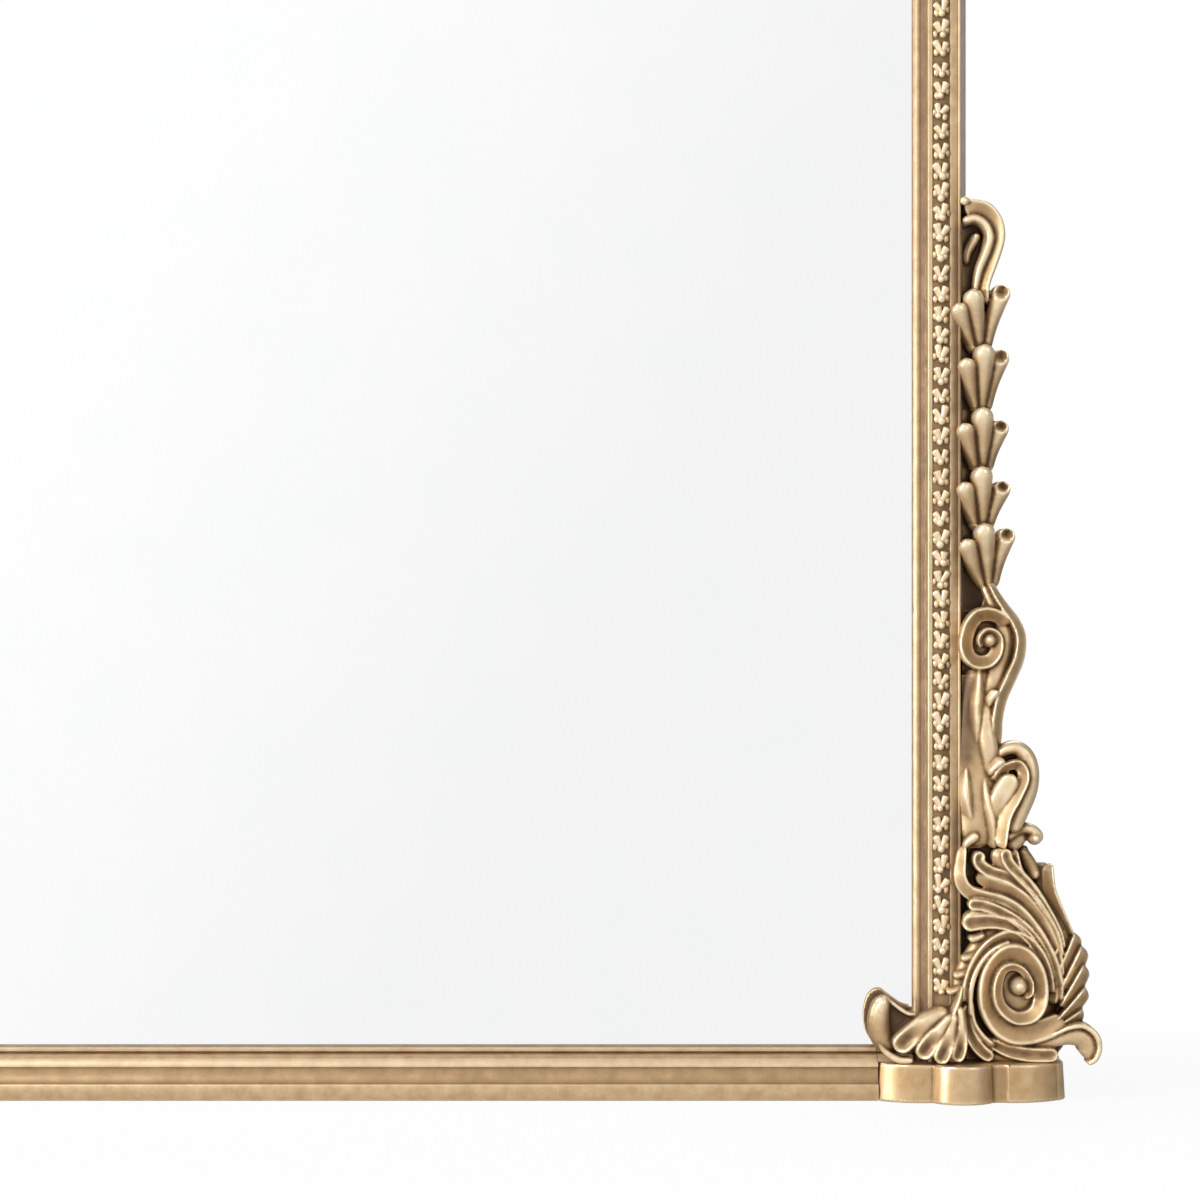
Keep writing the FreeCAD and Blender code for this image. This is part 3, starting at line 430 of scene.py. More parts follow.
def steps_between(low, high, step):
    count = max(1, round((high - low) / step))
    return [low + (high - low) * k / count for k in range(count + 1)]


# Across from the sight edge and forward from the back
STILE_PROFILE = drawn([
    (0.0, 10.2),
    (0.5, 13.4, 2.0, -1),
    (3.3, 15.2, 6.0, 1),
    (5.9, 19.6),
    (6.1, 21.4),
    (CHANNEL_START, 21.4),
    (CHANNEL_START, CHANNEL_FLOOR),
    (15.2, CHANNEL_FLOOR),
    (15.2, 20.4),
    (18.6, 19.8),
    (18.6, 20.0, 0.65, -1),
    (19.8, 20.0),
    (19.8, 16.0),
    (FACE, 16.0),
    (FACE + SPLAY, 0.0),
    (7.0, 0.0),
    (7.0, 10.2),
])


def stile_painted_shade(across, depth):
    """Painted shade: a dark painted shadow on the sight edge and painted shade in the cove; the lip between them and
    the outer corner are painted only a little darker.
    """
    edge = float(across < 0.4 and depth < 13.0)
    lip = float(across < 3.2 and depth >= 13.0)
    cove = float(3.2 < across < 5.8 and depth < 20.0)
    side = float(19.75 < across < 20.3)
    return edge + 0.6 * cove + 0.12 * side + 0.12 * lip


# Painted shade on the outer band beside the carvings: where it starts, at which heights, and how softly it ends
BESIDE_START, BESIDE_FADE = SIGHT + 15.4, 2.5
BESIDE_HEIGHTS = ((44.0, 126.0), (220.0, 372.0))
BESIDE_END = 14
BESIDE_GAIN = 0.85


def shade_beside_carving(places):
    """Painted shade on the outer band where the husk drop and the corner scroll stand beside it."""
    band = ((places[:, 0] - BESIDE_START) / BESIDE_FADE).clip(0, 1)
    up = places[:, 2]
    near = np.zeros(len(places))
    for low, high in BESIDE_HEIGHTS:
        near += ((up - low) / BESIDE_END + 0.5).clip(0, 1) * ((high - up) / BESIDE_END + 0.5).clip(0, 1)
    return BESIDE_GAIN * band * near


def rail_shade_and_highlight(depth, up):
    """Painted shadow on the top edge behind the lip, and a painted highlight on the upper round."""
    return float(up > 21.2 and depth < 15.4) - 0.45 * float(14.2 < up < 17.2)


def on_stile(across, depth, up, along=0.0):
    return (SIGHT + across, -depth, up + along)


def on_arch(across, depth, angle, along=0.0):
    reach = SIGHT + across
    return (reach * math.cos(angle) - along * math.sin(angle), -depth,
            SPRING + reach * math.sin(angle) + along * math.cos(angle))


def on_rail(depth, up, x):
    return (x, -depth, up)


MOULDING_STEP = 12
ARCH_TURNS = steps_between(0, QUARTER, 0.03)
stile = swept("right_stile_moulding", STILE_PROFILE, on_stile, steps_between(FOOT, SPRING, MOULDING_STEP),
              stile_painted_shade, shade_beside_carving, True)
arch = swept("right_arch_moulding", STILE_PROFILE, on_arch, ARCH_TURNS, stile_painted_shade, reflects_on_side=True)
finish_pair(stile, "stile")
finish_pair(arch, "arch")

# Forward from the back and up
RAIL_PROFILE = drawn([
    (10.2, 21.4),
    (16.0, 21.4),
    (16.0, 19.8),
    (15.4, 19.8),
    (14.8, 18.8, 5.8, -1),
    (21.6, 13.8),
    (20.4, 13.8, 7.0, 1),
    (22.6, 7.0),
    (23.8, 7.0, 8.0, -1),
    (23.8, 0.0),
    (0.0, 0.0),
    (0.0, 16.0),
    (10.2, 16.0),
])
rail = swept("bottom_rail_moulding", RAIL_PROFILE, on_rail, steps_between(-PLINTH_INNER, PLINTH_INNER, MOULDING_STEP),
             rail_shade_and_highlight)
finish_piece(rail, ["bottom_rail"])
# The rail's upper part runs on over the plinths to the stiles
UPPER_RAIL = [(depth, up) for depth, up in RAIL_PROFILE if up >= FOOT]
for side, name in ((1, "right"), (-1, "left")):
    ends = steps_between(side * (PLINTH_INNER - 0.5), side * (SIGHT - 0.2), 4)
    tongue = swept(f"{name}_rail_tongue", UPPER_RAIL, on_rail, ends, rail_shade_and_highlight)
    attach(tongue, "frame")

# Plinth: lobes and a groove in plan, with a rounded top and bottom edge
PLINTH_PLAN = drawn([
    (PLINTH_INNER, 0.0),
    (PLINTH_INNER, 23.8, 24.0, -1, 24),
    (311.0, 31.0, 14.5, -1, 24),
    (336.4, 31.0, 5.0, 1, 14),
    (342.7, 31.0, 28.0, -1, 24),
    (364.0, 23.0, 8.0, -1, 14),
    (PLINTH_OUTER, 15.0),
    (PLINTH_OUTER, 0.0),
], 0.5, 0.8)
PLINTH_ROUND = 0.9
PLINTH_LEAN = 0.9


def inset(points, distance):
    """The polygon drawn in by a distance along its corner normals."""
    places = np.array(points)
    ahead = np.roll(places, -1, 0) - places
    ahead /= np.linalg.norm(ahead, axis=1)[:, None]
    tangent = ahead + np.roll(ahead, 1, 0)
    tangent /= np.linalg.norm(tangent, axis=1)[:, None]
    normal = np.stack([-tangent[:, 1], tangent[:, 0]], 1)
    return places + normal * distance * winding(places)


plinth_edge = [(PLINTH_ROUND * (1 - math.sin(QUARTER * step / 5)), PLINTH_ROUND * (1 - math.cos(QUARTER * step / 5)))
               for step in range(6)]
levels = plinth_edge + [(0.0, z) for z in steps_between(2 * PLINTH_ROUND, FOOT - 2 * PLINTH_ROUND, 1.2)]
levels += [(share, FOOT - z) for share, z in reversed(plinth_edge)]
work = bmesh.new()
skin(work, [[(x, -depth, z) for x, depth in inset(PLINTH_PLAN, share + PLINTH_LEAN * z / FOOT)] for share, z in levels])
# Points closer than a thousandth of a millimetre become one
bmesh.ops.remove_doubles(work, verts=work.verts, dist=0.001)
plinth = built("right_lobed_plinth", work, gold_plinth)
shade(plinth, 60)
relief(plinth, 3, 16)
finish_pair(plinth, "plinth")


# Husk-and-bead strip: leaf cups with a bead under each, no two quite alike
def ball(work, centre, radii, segments=14, rings=8):
    made = bmesh.ops.create_uvsphere(work, u_segments=segments, v_segments=rings, radius=1.0)
    for vert in made["verts"]:
        vert.co = [c + r * p for c, r, p in zip(centre, radii, vert.co)]


def petal(work, root, tip, root_radius, tip_radius, lift, around=10, steps=8):
    """Swollen leaf arm from root to tip, lying on the ribbon."""
    rings = []
    length = math.hypot(tip[0] - root[0], tip[1] - root[1])
    ahead = ((tip[0] - root[0]) / length, (tip[1] - root[1]) / length)
    for k in range(steps + 1):
        t = k / steps
        closing = max(0.18, min(1.0, 2.6 * math.sqrt(max(0.0, 1 - t))))
        radius = (root_radius + (tip_radius - root_radius) * t) * closing
        centre = (root[0] + ahead[0] * length * t, root[1] + ahead[1] * length * t)
        ring = []
        for j in range(around):
            turn = 2 * math.pi * j / around
            side = radius * math.cos(turn)
            rise = lift * (0.55 + 0.45 * t) + radius * math.sin(turn)
            ring.append((centre[0] - ahead[1] * side, -rise, centre[1] + ahead[0] * side))
        rings.append(ring)
    skin(work, rings)


CROSS_FALL = 0.28


def ornament(work, place, at, dice):
    """One husk, its bead and two buds, drawn at the origin and then set in place."""
    def wobble(size):
        return dice.uniform(-size, size)

    unit = bmesh.new()
    bead = 1.7 + wobble(0.25)
    ball(unit, (wobble(0.8), -0.9, -2.85 + wobble(0.4)), (bead, 1.6, bead))
    for side in (-1, 1):
        petal(unit, (side * 0.6, -1.9), (side * (2.6 + wobble(0.5)), 2.9 + wobble(1.0)),
              1.2, 2.0 + wobble(0.35), 1.0)
        ball(unit, (side * (2.6 + wobble(0.35)), -0.7, -2.1 + wobble(0.8)), (1.3, 1.3, 1.8))
    lean = Matrix.Rotation(wobble(0.28), 3, "Y")
    for vert in unit.verts:
        vert.co = lean @ vert.co
        vert.co.y += CROSS_FALL * abs(vert.co.x)
        x, y, z = vert.co
        vert.co = place(ACROSS + x, STRIP_FRONT - y, at, z)
    mesh = bpy.data.meshes.new("unit")
    unit.to_mesh(mesh)
    unit.free()
    work.from_mesh(mesh)
    bpy.data.meshes.remove(mesh)


ACROSS = CHANNEL_START + CHANNEL_WIDTH / 2
LINE = SIGHT + ACROSS
HALF = CHANNEL_WIDTH / 2 - 0.1
RIBBON = [(-HALF, CHANNEL_FLOOR), (HALF, CHANNEL_FLOOR), (HALF, STRIP_FRONT), (-HALF, STRIP_FRONT)]
# Tone at the ribbon, tone on top, and the painted shade: how much darker each millimetre outward is
BEAD_TONES = {"fine": (-0.05, 0.10, 0.0), "broad": (-0.38, 0.42, 0.11)}
BEAD_HEIGHT = 1.9


def strip(name, place, low, high, length, ends, seed):
    """Ribbon with evenly spaced ornaments, dark where they meet it and bright on top, with painted shade toward the
    outer side.
    """
    dice = random.Random(seed)
    work = bmesh.new()
    count = int(length / STRIP_PITCH)
    for k in range(count):
        ornament(work, place, low + (high - low) * (k + 0.5) / count, dice)
    skin(work, [[place(ACROSS + x, depth, at) for x, depth in RIBBON] for at in ends])
    obj = built(name, work, gold_resin)
    shade(obj, 60)
    x, y, z = vectors(obj.data, "co").T / MM
    share = np.clip((-y - STRIP_FRONT) / BEAD_HEIGHT, 0, 1)
    outward = np.hypot(x, (z - SPRING).clip(0)) - LINE
    for key, (dark, light, fall) in BEAD_TONES.items():
        # Painted shade: darker toward the outer side of the strip
        store(obj.data, key, dark + (light - dark) * share - fall * outward)
    return obj


stile_strip = strip("right_stile_husks", on_stile, STRIP_FOOT, SPRING, SPRING - STRIP_FOOT, (STRIP_FOOT, SPRING), 3)
arch_strip = strip("right_arch_husks", on_arch, 0, QUARTER, LINE * QUARTER, ARCH_TURNS, 5)
finish_pair(stile_strip, "stile_beading")
finish_pair(arch_strip, "arch_beading")


# Carving: strokes of rounded, hollow or ribbed section on a flat ground, melted into one casting
def curve(points, step, parts=24):
    """Points evenly spaced along a smooth curve through the given ones."""
    knots = np.array(points, dtype=float)
    padded = np.vstack([2 * knots[0] - knots[1], knots, 2 * knots[-1] - knots[-2]])
    fine = []
    for k in range(len(knots) - 1):
        a, b, c, d = padded[k:k + 4]
        for t in np.linspace(0, 1, parts, endpoint=False):
            line = 2 * b + (c - a) * t
            fine.append(0.5 * (line + (2 * a - 5 * b + 4 * c - d) * t**2 + (3 * b - a - 3 * c + d) * t**3))
    fine = np.array(fine + [knots[-1]])
    run = np.concatenate([[0], np.cumsum(np.linalg.norm(np.diff(fine, axis=0), axis=1))])
    at = np.linspace(0, run[-1], max(6, int(run[-1] / step)) + 1)
    return np.stack([np.interp(at, run, fine[:, axis]) for axis in range(2)], 1), at


# Where the crest of a bank and the rim of a hollow leaf lie, as share of half width
CREST = 0.7
RIM = 0.72
# Where along its line a hollow opens, and how soon it is full
OPENING = {"ladle": (0.4, 0.35), "cup": (0.78, 0.12)}


def section_of(kind):
    """Across and height of a section from -1 to 1, as share of half width and of rise."""
    across = np.linspace(-1, 1, 19)
    dome = np.sqrt(np.maximum(0, 1 - across**2))
    if kind in ("spoon", "ladle", "cup"):
        dip = 0.9 if kind == "cup" else 0.55
        dome = np.where(np.abs(across) < RIM, 1 - dip * (1 - (across / RIM) ** 2),
                        np.sqrt(np.maximum(0, 1 - ((np.abs(across) - RIM) / (1 - RIM)) ** 2)))
    elif kind == "bank":
        slope = ((across + 1) / (CREST + 1)).clip(0, 1) ** 1.4
        fall = np.sqrt(np.maximum(0, 1 - ((across - CREST).clip(0) / (1 - CREST)) ** 2))
        dome = np.where(across < CREST, slope, fall)
    elif kind == "tongue":
        dome = (1 - np.abs(across) ** 3) ** 0.6 * (1 - 0.16 * (1 - across**2))
    elif kind == "keel":
        dome = 1 - np.abs(across) ** 1.3
    return across, dome


def smooth_through(marks, share):
    """Smooth curve through evenly spaced marks."""
    return np.polyval(np.polyfit(np.linspace(0, 1, len(marks)), marks, len(marks) - 1), share)


def round_ends(run, width):
    """Share of the width along a line that is rounded at its start and, longer, at its end."""
    near_end = np.clip((run[-1] - run) / (0.5 * width), 0, 1)
    near_start = np.clip(run / (0.35 * width), 0, 1)
    return np.maximum(np.sqrt(1 - (1 - near_end) ** 2) * np.sqrt(1 - (1 - near_start) ** 2), 0.12)


def stroke(work, kind, width, level, points, rise, foot, taper=(0.6, 1.0, 0.9), hand=1):
    """One leaf or ridge; its front lies at the level and it goes down to the foot.

    A bank has its crest on the line and slopes away to one side: hand is 1 for the right of the line.
    """
    levels = level if isinstance(level, (tuple, list)) else (level, level)
    path, run = curve(points, max(0.35, width / 9))
    share = run / run[-1]
    tangent = np.gradient(path, axis=0)
    tangent /= np.linalg.norm(tangent, axis=1)[:, None]
    half = width / 2 * smooth_through(taper, share)
    rounding = round_ends(run, width)
    top = smooth_through(levels, share)
    across, dome = section_of(kind)
    offset = CREST if kind == "bank" else 0.0
    rings = []
    for k in range(len(path)):
        u, v = path[k]
        side = (-tangent[k][1] * hand, tangent[k][0] * hand)
        reach = half[k] * rounding[k]
        lift = rise * (0.35 + 0.65 * rounding[k])
        ring = []
        for a, d in zip(across, dome):
            if kind == "spoon":
                d = 1 - (1 - d) * rounding[k] ** 2
            elif kind in OPENING:
                begin, over = OPENING[kind]
                hollow = np.clip((share[k] - begin) / over, 0, 1)
                full = math.sqrt(max(0.0, 1 - a * a))
                closing = rounding[k] ** 2 if kind == "ladle" else 1.0
                d = full + (1 - (1 - d) * closing - full) * hollow
            ring.append(((a - offset) * reach, top[k] - rise + lift * d))
        ring += [((a - offset) * reach, foot) for a in (1, -1)]
        rings.append([(u + side[0] * aside, -height, v + side[1] * aside) for aside, height in ring])
    skin(work, rings)


def deep(level, fall):
    """Brown glaze and painted shade on what lies deeper than a level."""
    return lambda places: 1.1 * ((level + places[:, 1] / MM) / fall).clip(0, 1)


class Carving:
    """Strokes on a drawing grid whose origin is a place on the frame."""

    def __init__(self, origin, unit, ground_level):
        self.origin, self.unit, self.foot = origin, unit, ground_level - 2.0
        self.work = bmesh.new()

    def at(self, x, y):
        return ((x - self.origin[0]) * self.unit, (self.origin[1] - y) * self.unit)

    def add(self, kind, width, level, points, rise=None, **more):
        wide = width * self.unit
        if rise is None:
            rise = min(3.6, wide * (0.5 if kind in ("rim", "round") else 0.42))
        stroke(self.work, kind, wide, level, [self.at(*p) for p in points], rise, self.foot, **more)

    def mound(self, centre, radii, base, top, rings=10, around=40):
        """Rounded mound on the ground."""
        (u, v), (wide, high) = self.at(*centre), [r * self.unit for r in radii]
        turns = [QUARTER * r / rings for r in range(rings)]
        angles = [2 * math.pi * k / around for k in range(around)]
        skin(self.work, [[(u + wide * math.cos(turn) * math.cos(angle), -(base + (top - base) * math.sin(turn)),
                           v + high * math.cos(turn) * math.sin(angle)) for angle in angles] for turn in turns])

    def bead(self, centre, radius, level):
        """A ball on a neck."""
        u, v = self.at(*centre)
        r = radius * self.unit
        ball(self.work, (u, -(level - r), v), (r, r, r), 20, 12)
        stroke(self.work, "round", 1.6 * r, level - r, [(u - 0.2, v), (u, v), (u + 0.2, v)], r, self.foot)

    def plate(self, polygon, back, front):
        places = [self.at(*p) for p in polygon]
        skin(self.work, [[(u, -depth, v) for u, v in places] for depth in (back, front)])

    def grid(self, places):
        """Grid places of points given in metres."""
        across = (places[:, 0] / MM - CORNER[0]) / self.unit + self.origin[0]
        return across, self.origin[1] - (places[:, 2] / MM - CORNER[1]) / self.unit

    def cast(self, name, anchor, broad, glaze_and_painted_light, voxel=0.5):
        """One skin round everything drawn, with its patina and, by place, painted shade and painted highlights."""
        self.work.normal_update()
        bmesh.ops.triangulate(self.work, faces=[face for face in self.work.faces if len(face.verts) > 4])
        obj = built(name, self.work, gold_resin, anchor)
        drawing = obj.data
        remesh = obj.modifiers.new("melt", "REMESH")
        remesh.mode = "VOXEL"
        remesh.voxel_size = voxel * MM
        remesh.use_smooth_shade = True
        soften = obj.modifiers.new("soften", "SMOOTH")
        soften.factor = 0.5
        soften.iterations = 2
        graph = bpy.context.evaluated_depsgraph_get()
        solid = bpy.data.meshes.new_from_object(obj.evaluated_get(graph))
        obj.modifiers.clear()
        obj.data = solid
        bpy.data.meshes.remove(drawing)
        solid.name = name
        solid.materials.clear()
        solid.materials.append(gold_resin)
        solid.polygons.foreach_set("use_smooth", [True] * len(solid.polygons))
        relief(obj, 4, broad, glaze_and_painted_light)
        return obj


# Drawing grids of the side carvings: the place that lies on the corner, and millimetres to a step
CORNER = (EDGE, FOOT)
SCROLL_GRID = ((646.3, 1283.3), 0.08571)
STEM_GRID = ((738.6, 2586.6), 0.075)
PHOTO_GRID = ((971.9, 1061.9), 0.42)

# Corner scroll
scroll = Carving(*SCROLL_GRID, 17.0)
scroll.plate([(630, 1283), (1060, 1283), (1120, 1200), (1150, 1060), (1165, 930), (1150, 780), (1110, 640),
    (1060, 500), (1036, 318), (962, 318), (930, 228), (860, 226), (640, 226), (630, 400)], 5.0, 14.5)
scroll.add("round", 66, (17, 20), [(902, 238), (926, 285), (948, 330), (972, 390)])
scroll.mound((870, 930), (225, 280), 12.0, 22.5)
scroll.add("bank", 92, (32, 30, 28, 27), [(905, 968), (936, 936), (938, 886), (912, 835), (880, 806), (838, 794),
    (795, 808), (766, 848), (751, 905), (752, 960), (768, 1012), (806, 1056), (860, 1084), (920, 1082),
    (968, 1056), (998, 1010), (1009, 955), (1006, 890), (990, 825), (960, 772), (920, 733), (870, 711), (815, 713),
    (765, 746), (722, 802), (698, 862), (689, 930), (693, 1000), (712, 1060), (745, 1115), (790, 1155),
    (850, 1180), (920, 1181), (990, 1166), (1060, 1140), (1120, 1120)], rise=3.4, taper=(0.25, 0.9, 1.15), hand=-1)
scroll.mound((878, 904), (46, 48), 22.0, 32.0)
scroll.add("bank", 80, (23, 26), [(1070, 980), (1078, 900), (1062, 810), (1025, 715), (965, 625), (890, 560),
    (800, 505), (720, 482), (668, 478), (632, 494)], rise=3.4, taper=(0.8, 1.0, 0.9), hand=-1)
scroll.add("spoon", 60, (24, 27), [(628, 508), (700, 513), (790, 546), (880, 600), (955, 675), (1010, 765),
    (1045, 870)][::-1], taper=(0.5, 0.85, 1.0))
scroll.add("bank", 84, (23, 27), [(1062, 1000), (1064, 910), (1044, 815), (1004, 725), (948, 645), (880, 594),
    (800, 568), (715, 556), (650, 552), (606, 572)], rise=3.6, taper=(0.8, 1.0, 1.0), hand=-1)
scroll.add("spoon", 94, (24, 27.5), [(600, 604), (660, 596), (740, 592), (830, 610), (905, 655), (965, 725),
    (1010, 810), (1036, 905)][::-1], taper=(0.35, 0.6, 1.0))
scroll.add("bank", 84, (24, 28), [(1085, 985), (1090, 900), (1062, 785), (1012, 682), (950, 590), (880, 517),
    (800, 472), (720, 450), (645, 424), (613, 375), (611, 300), (616, 222)], rise=3.8, taper=(0.9, 1.1, 0.45),
    hand=-1)
scroll.add("bank", 70, (24, 27), [(1098, 860), (1082, 750), (1040, 640), (985, 545), (920, 470), (850, 420),
    (770, 392), (715, 372), (690, 346)], rise=3.4, taper=(0.8, 1.0, 0.8), hand=-1)
scroll.add("spoon", 62, (24, 28), [(690, 250), (680, 300), (730, 345), (840, 384), (925, 452), (995, 548),
    (1050, 650)][::-1], taper=(0.5, 0.9, 1.0))
scroll.add("bank", 70, (25, 28), [(1095, 760), (1070, 655), (1012, 545), (945, 450), (880, 380), (815, 325),
    (790, 280), (792, 236)], rise=3.4, taper=(0.8, 1.0, 0.7), hand=-1)
scroll.add("spoon", 60, (25, 29), [(806, 236), (822, 300), (880, 366), (948, 440), (1016, 540), (1072, 640)][::-1],
    taper=(0.5, 0.9, 1.0))
scroll.add("bank", 56, (25, 28), [(1104, 720), (1080, 630), (1012, 505), (945, 415), (890, 335), (864, 240)],
    rise=3.2, taper=(0.8, 1.0, 0.6), hand=-1)
scroll.add("round", 110, (20, 23, 22), [(598, 1010), (604, 930), (625, 850), (670, 765), (735, 690), (820, 650),
    (900, 655), (970, 700), (1020, 790)][::-1], rise=3.0)
scroll.add("bank", 60, (25, 27), [(1050, 940), (1036, 845), (1003, 757), (953, 692), (890, 652), (820, 642),
    (750, 670), (690, 722), (642, 796), (614, 875), (604, 930), (598, 985)], rise=3.2, taper=(0.9, 1.1, 0.8),
    hand=-1)
scroll.add("rim", 24, (27, 26), [(640, 1050), (640, 960), (650, 888), (676, 818), (718, 758), (770, 716),
    (830, 690)][::-1])
for x, y in ((640, 676), (602, 770), (566, 854), (532, 936)):
    scroll.add("round", 40, (24, 25, 26.5), [(x + 72, y - 22), (x + 34, y - 4), (x - 8, y + 4)],
        rise=2.6, taper=(0.8, 0.9, 0.8))
for points, width in (
    ([(1050, 770), (1082, 690), (1104, 632)], 62),
    ([(1072, 840), (1118, 740), (1156, 652)], 68),
    ([(1080, 930), (1140, 816), (1190, 716)], 72),
    ([(1080, 1010), (1145, 902), (1200, 808)], 70),
    ([(1060, 1080), (1140, 996), (1207, 918)], 66),
    ([(1020, 1130), (1115, 1078), (1196, 1026)], 58),
):
    scroll.add("bank", width, (25, 23), points, rise=4.2, taper=(0.6, 1.0, 0.8))
scroll.add("round", 90, (22, 18), [(1100, 690), (1056, 540), (1012, 420), (1000, 318)], taper=(0.8, 1.0, 0.9))
scroll.add("bank", 60, (23, 24), [(1150, 660), (1094, 535), (1054, 430), (1044, 314)], rise=4.0, hand=-1)
scroll.add("round", 116, (23, 27, 26), [(940, 1190), (1040, 1172), (1120, 1150), (1182, 1158), (1218, 1196),
    (1220, 1238), (1208, 1266)], taper=(0.4, 0.8, 1.0))
scroll.add("rim", 26, (27, 29.5, 28.5), [(1040, 1146), (1120, 1108), (1190, 1100), (1248, 1140), (1266, 1204),
    (1246, 1262), (1208, 1284)])
scroll.add("spoon", 76, (24, 26), [(730, 1180), (820, 1224), (920, 1243), (1010, 1246), (1070, 1242)])
scroll.add("round", 70, (20, 22), [(700, 1250), (820, 1262), (1000, 1268), (1060, 1264)])
scroll.add("spoon", 66, (25, 26), [(626, 1000), (620, 1080), (640, 1150), (690, 1220), (750, 1264)])
scroll.add("bank", 70, (26, 26), [(648, 980), (660, 1080), (704, 1150), (760, 1196)], rise=3.0)
corner_scroll = scroll.cast("right_corner_scroll_carving", CORNER, 30, deep(21.5, 5.0))

# Fan leaf over the corner of the frame
fan = Carving(*SCROLL_GRID, 23.5)
fan.plate([(596, 1000), (596, 1240), (480, 1246), (360, 1232), (270, 1180), (330, 1120), (480, 1010)], 21.8, 25.0)
fan.plate([(196, 1180), (232, 985), (265, 985), (330, 1030), (368, 1042), (420, 1090), (330, 1220), (250, 1240)],
    21.8, 24.5)
fan.add("ladle", 108, (30, 33), [(528, 1020), (440, 1068), (356, 1130), (268, 1212)],
    rise=4.4, taper=(0.6, 0.95, 1.0))
fan.add("ladle", 96, (31, 33.5), [(548, 1036), (488, 1112), (434, 1180), (384, 1250)],
    rise=4.4, taper=(0.5, 0.95, 1.0))
fan.add("ladle", 84, (31, 34), [(560, 1030), (532, 1130), (508, 1204), (478, 1276)],
    rise=4.2, taper=(0.5, 0.95, 1.0))
fan.add("ladle", 70, (30, 33), [(584, 1000), (590, 1120), (584, 1200), (562, 1268)],
    rise=4.0, taper=(0.5, 0.95, 1.0))
fan.add("keel", 50, (28, 31), [(598, 905), (578, 980), (540, 1064)], rise=3.0, taper=(0.5, 0.9, 0.9))
fan.add("rim", 34, (27, 30), [(176, 1130), (196, 1184), (232, 1232), (292, 1264), (356, 1264)])
fan.add("round", 112, (27, 32), [(270, 1220), (214, 1170), (192, 1095), (196, 1020), (220, 952)],
    rise=5.4, taper=(0.8, 1.0, 0.6))
fan.add("rim", 20, (29, 27), [(222, 956), (262, 992), (326, 1036), (372, 1044)])
fan_leaf = fan.cast("right_fan_leaf_carving", CORNER, 40, deep(30.3, 4.0))

# Scroll bracket
stem = Carving(*STEM_GRID, 15.0)
stem.plate([(690, 1392), (900, 1392), (960, 1290), (1060, 1080), (1070, 950), (1030, 860), (930, 840), (870, 880),
    (880, 640), (930, 440), (1000, 290), (990, 180), (930, 60), (870, -55), (830, -55), (800, 60), (700, 130)],
    5.0, 16.0)
stem.plate([(690, 420), (690, -60), (860, -60), (860, 420)], 5.0, 8.0)
stem.plate([(690, 1392), (790, 1392), (790, 420), (690, 420)], 5.0, 18.6)
stem.mound((800, 224), (140, 165), 9.0, 20.0)
stem.add("round", 96, (17, 21, 22, 20), [(812, -84), (852, 0), (905, 100), (936, 210), (920, 310), (884, 410),
    (846, 520), (836, 640), (838, 760), (830, 880)], rise=3.0, taper=(0.4, 1.0, 0.8))
stem.add("bank", 62, (22, 26, 25.6, 22.8), [(838, -92), (874, -15), (918, 58), (966, 130), (993, 212), (981, 318),
    (938, 420), (886, 540), (862, 660), (860, 770), (838, 880)], rise=3.6, taper=(0.6, 1.1, 0.9), hand=-1)
stem.add("bank", 78, (24, 27, 28, 29), [(958, 132), (920, 82), (870, 56), (815, 50), (757, 67), (706, 127),
    (680, 204), (678, 270), (699, 330), (743, 367), (796, 378), (854, 360), (893, 314), (907, 259), (900, 204),
    (867, 169), (822, 162), (784, 190), (772, 232), (788, 268)], rise=4.4, taper=(0.9, 1.05, 0.5), hand=-1)
stem.mound((838, 222), (42, 42), 20.0, 29.0)
stem.add("round", 236, (21.0, 22.6, 22.0), [(786, 370), (780, 700), (776, 1000), (790, 1392)],
    rise=6.0, taper=(0.75, 1.0, 0.95))
stem.add("keel", 88, (21.4, 24.6, 20.6), [(788, 380), (780, 480), (772, 600), (776, 720), (768, 880)], rise=2.8)
stem.add("round", 104, (20.4, 24.8, 23.0), [(820, 500), (820, 640), (828, 760), (846, 880), (850, 990)],
    rise=3.4, taper=(0.4, 1.0, 0.7))
stem.add("keel", 80, (19.8, 24.0, 21.4), [(718, 880), (712, 1000), (718, 1130), (748, 1250)], rise=2.8)
stem.add("keel", 84, (20.6, 24.4, 22.4), [(806, 920), (816, 1040), (838, 1150), (862, 1260), (872, 1392)], rise=3.0)
stem.add("round", 54, (22, 25.4), [(700, 1392), (726, 1352), (776, 1312)], rise=2.6)
stem.add("keel", 66, (23, 27.5), [(838, 600), (848, 560), (884, 506)])
stem.add("round", 96, (23, 25, 25), [(864, 900), (924, 842), (996, 828), (1050, 872), (1074, 956), (1064, 1062),
    (1020, 1180), (968, 1300)], rise=4.4, taper=(0.5, 1.0, 0.8))
stem.add("bank", 66, (26, 28, 28), [(850, 1000), (912, 926), (996, 900), (1042, 940), (1050, 1010), (1006, 1112),
    (950, 1222), (922, 1392)], rise=4.0)
stem.add("tongue", 118, (23, 27.5), [(900, 1300), (884, 1210), (898, 1120), (938, 1040), (972, 976)],
    rise=3.0, taper=(0.5, 1.0, 0.9))
stem.add("keel", 84, (25, 28.5), [(836, 980), (868, 934), (920, 892)], rise=3.4)
stem.add("round", 66, (20, 24), [(940, 1340), (1010, 1288), (1072, 1284), (1112, 1318), (1106, 1356)],
    rise=3.0, taper=(0.7, 0.9, 1.0))
stem.mound((1100, 1334), (42, 42), 16.0, 25.0)
stem.add("round", 90, (19, 20), [(960, 1400), (1000, 1350), (1036, 1300)], rise=3.0)


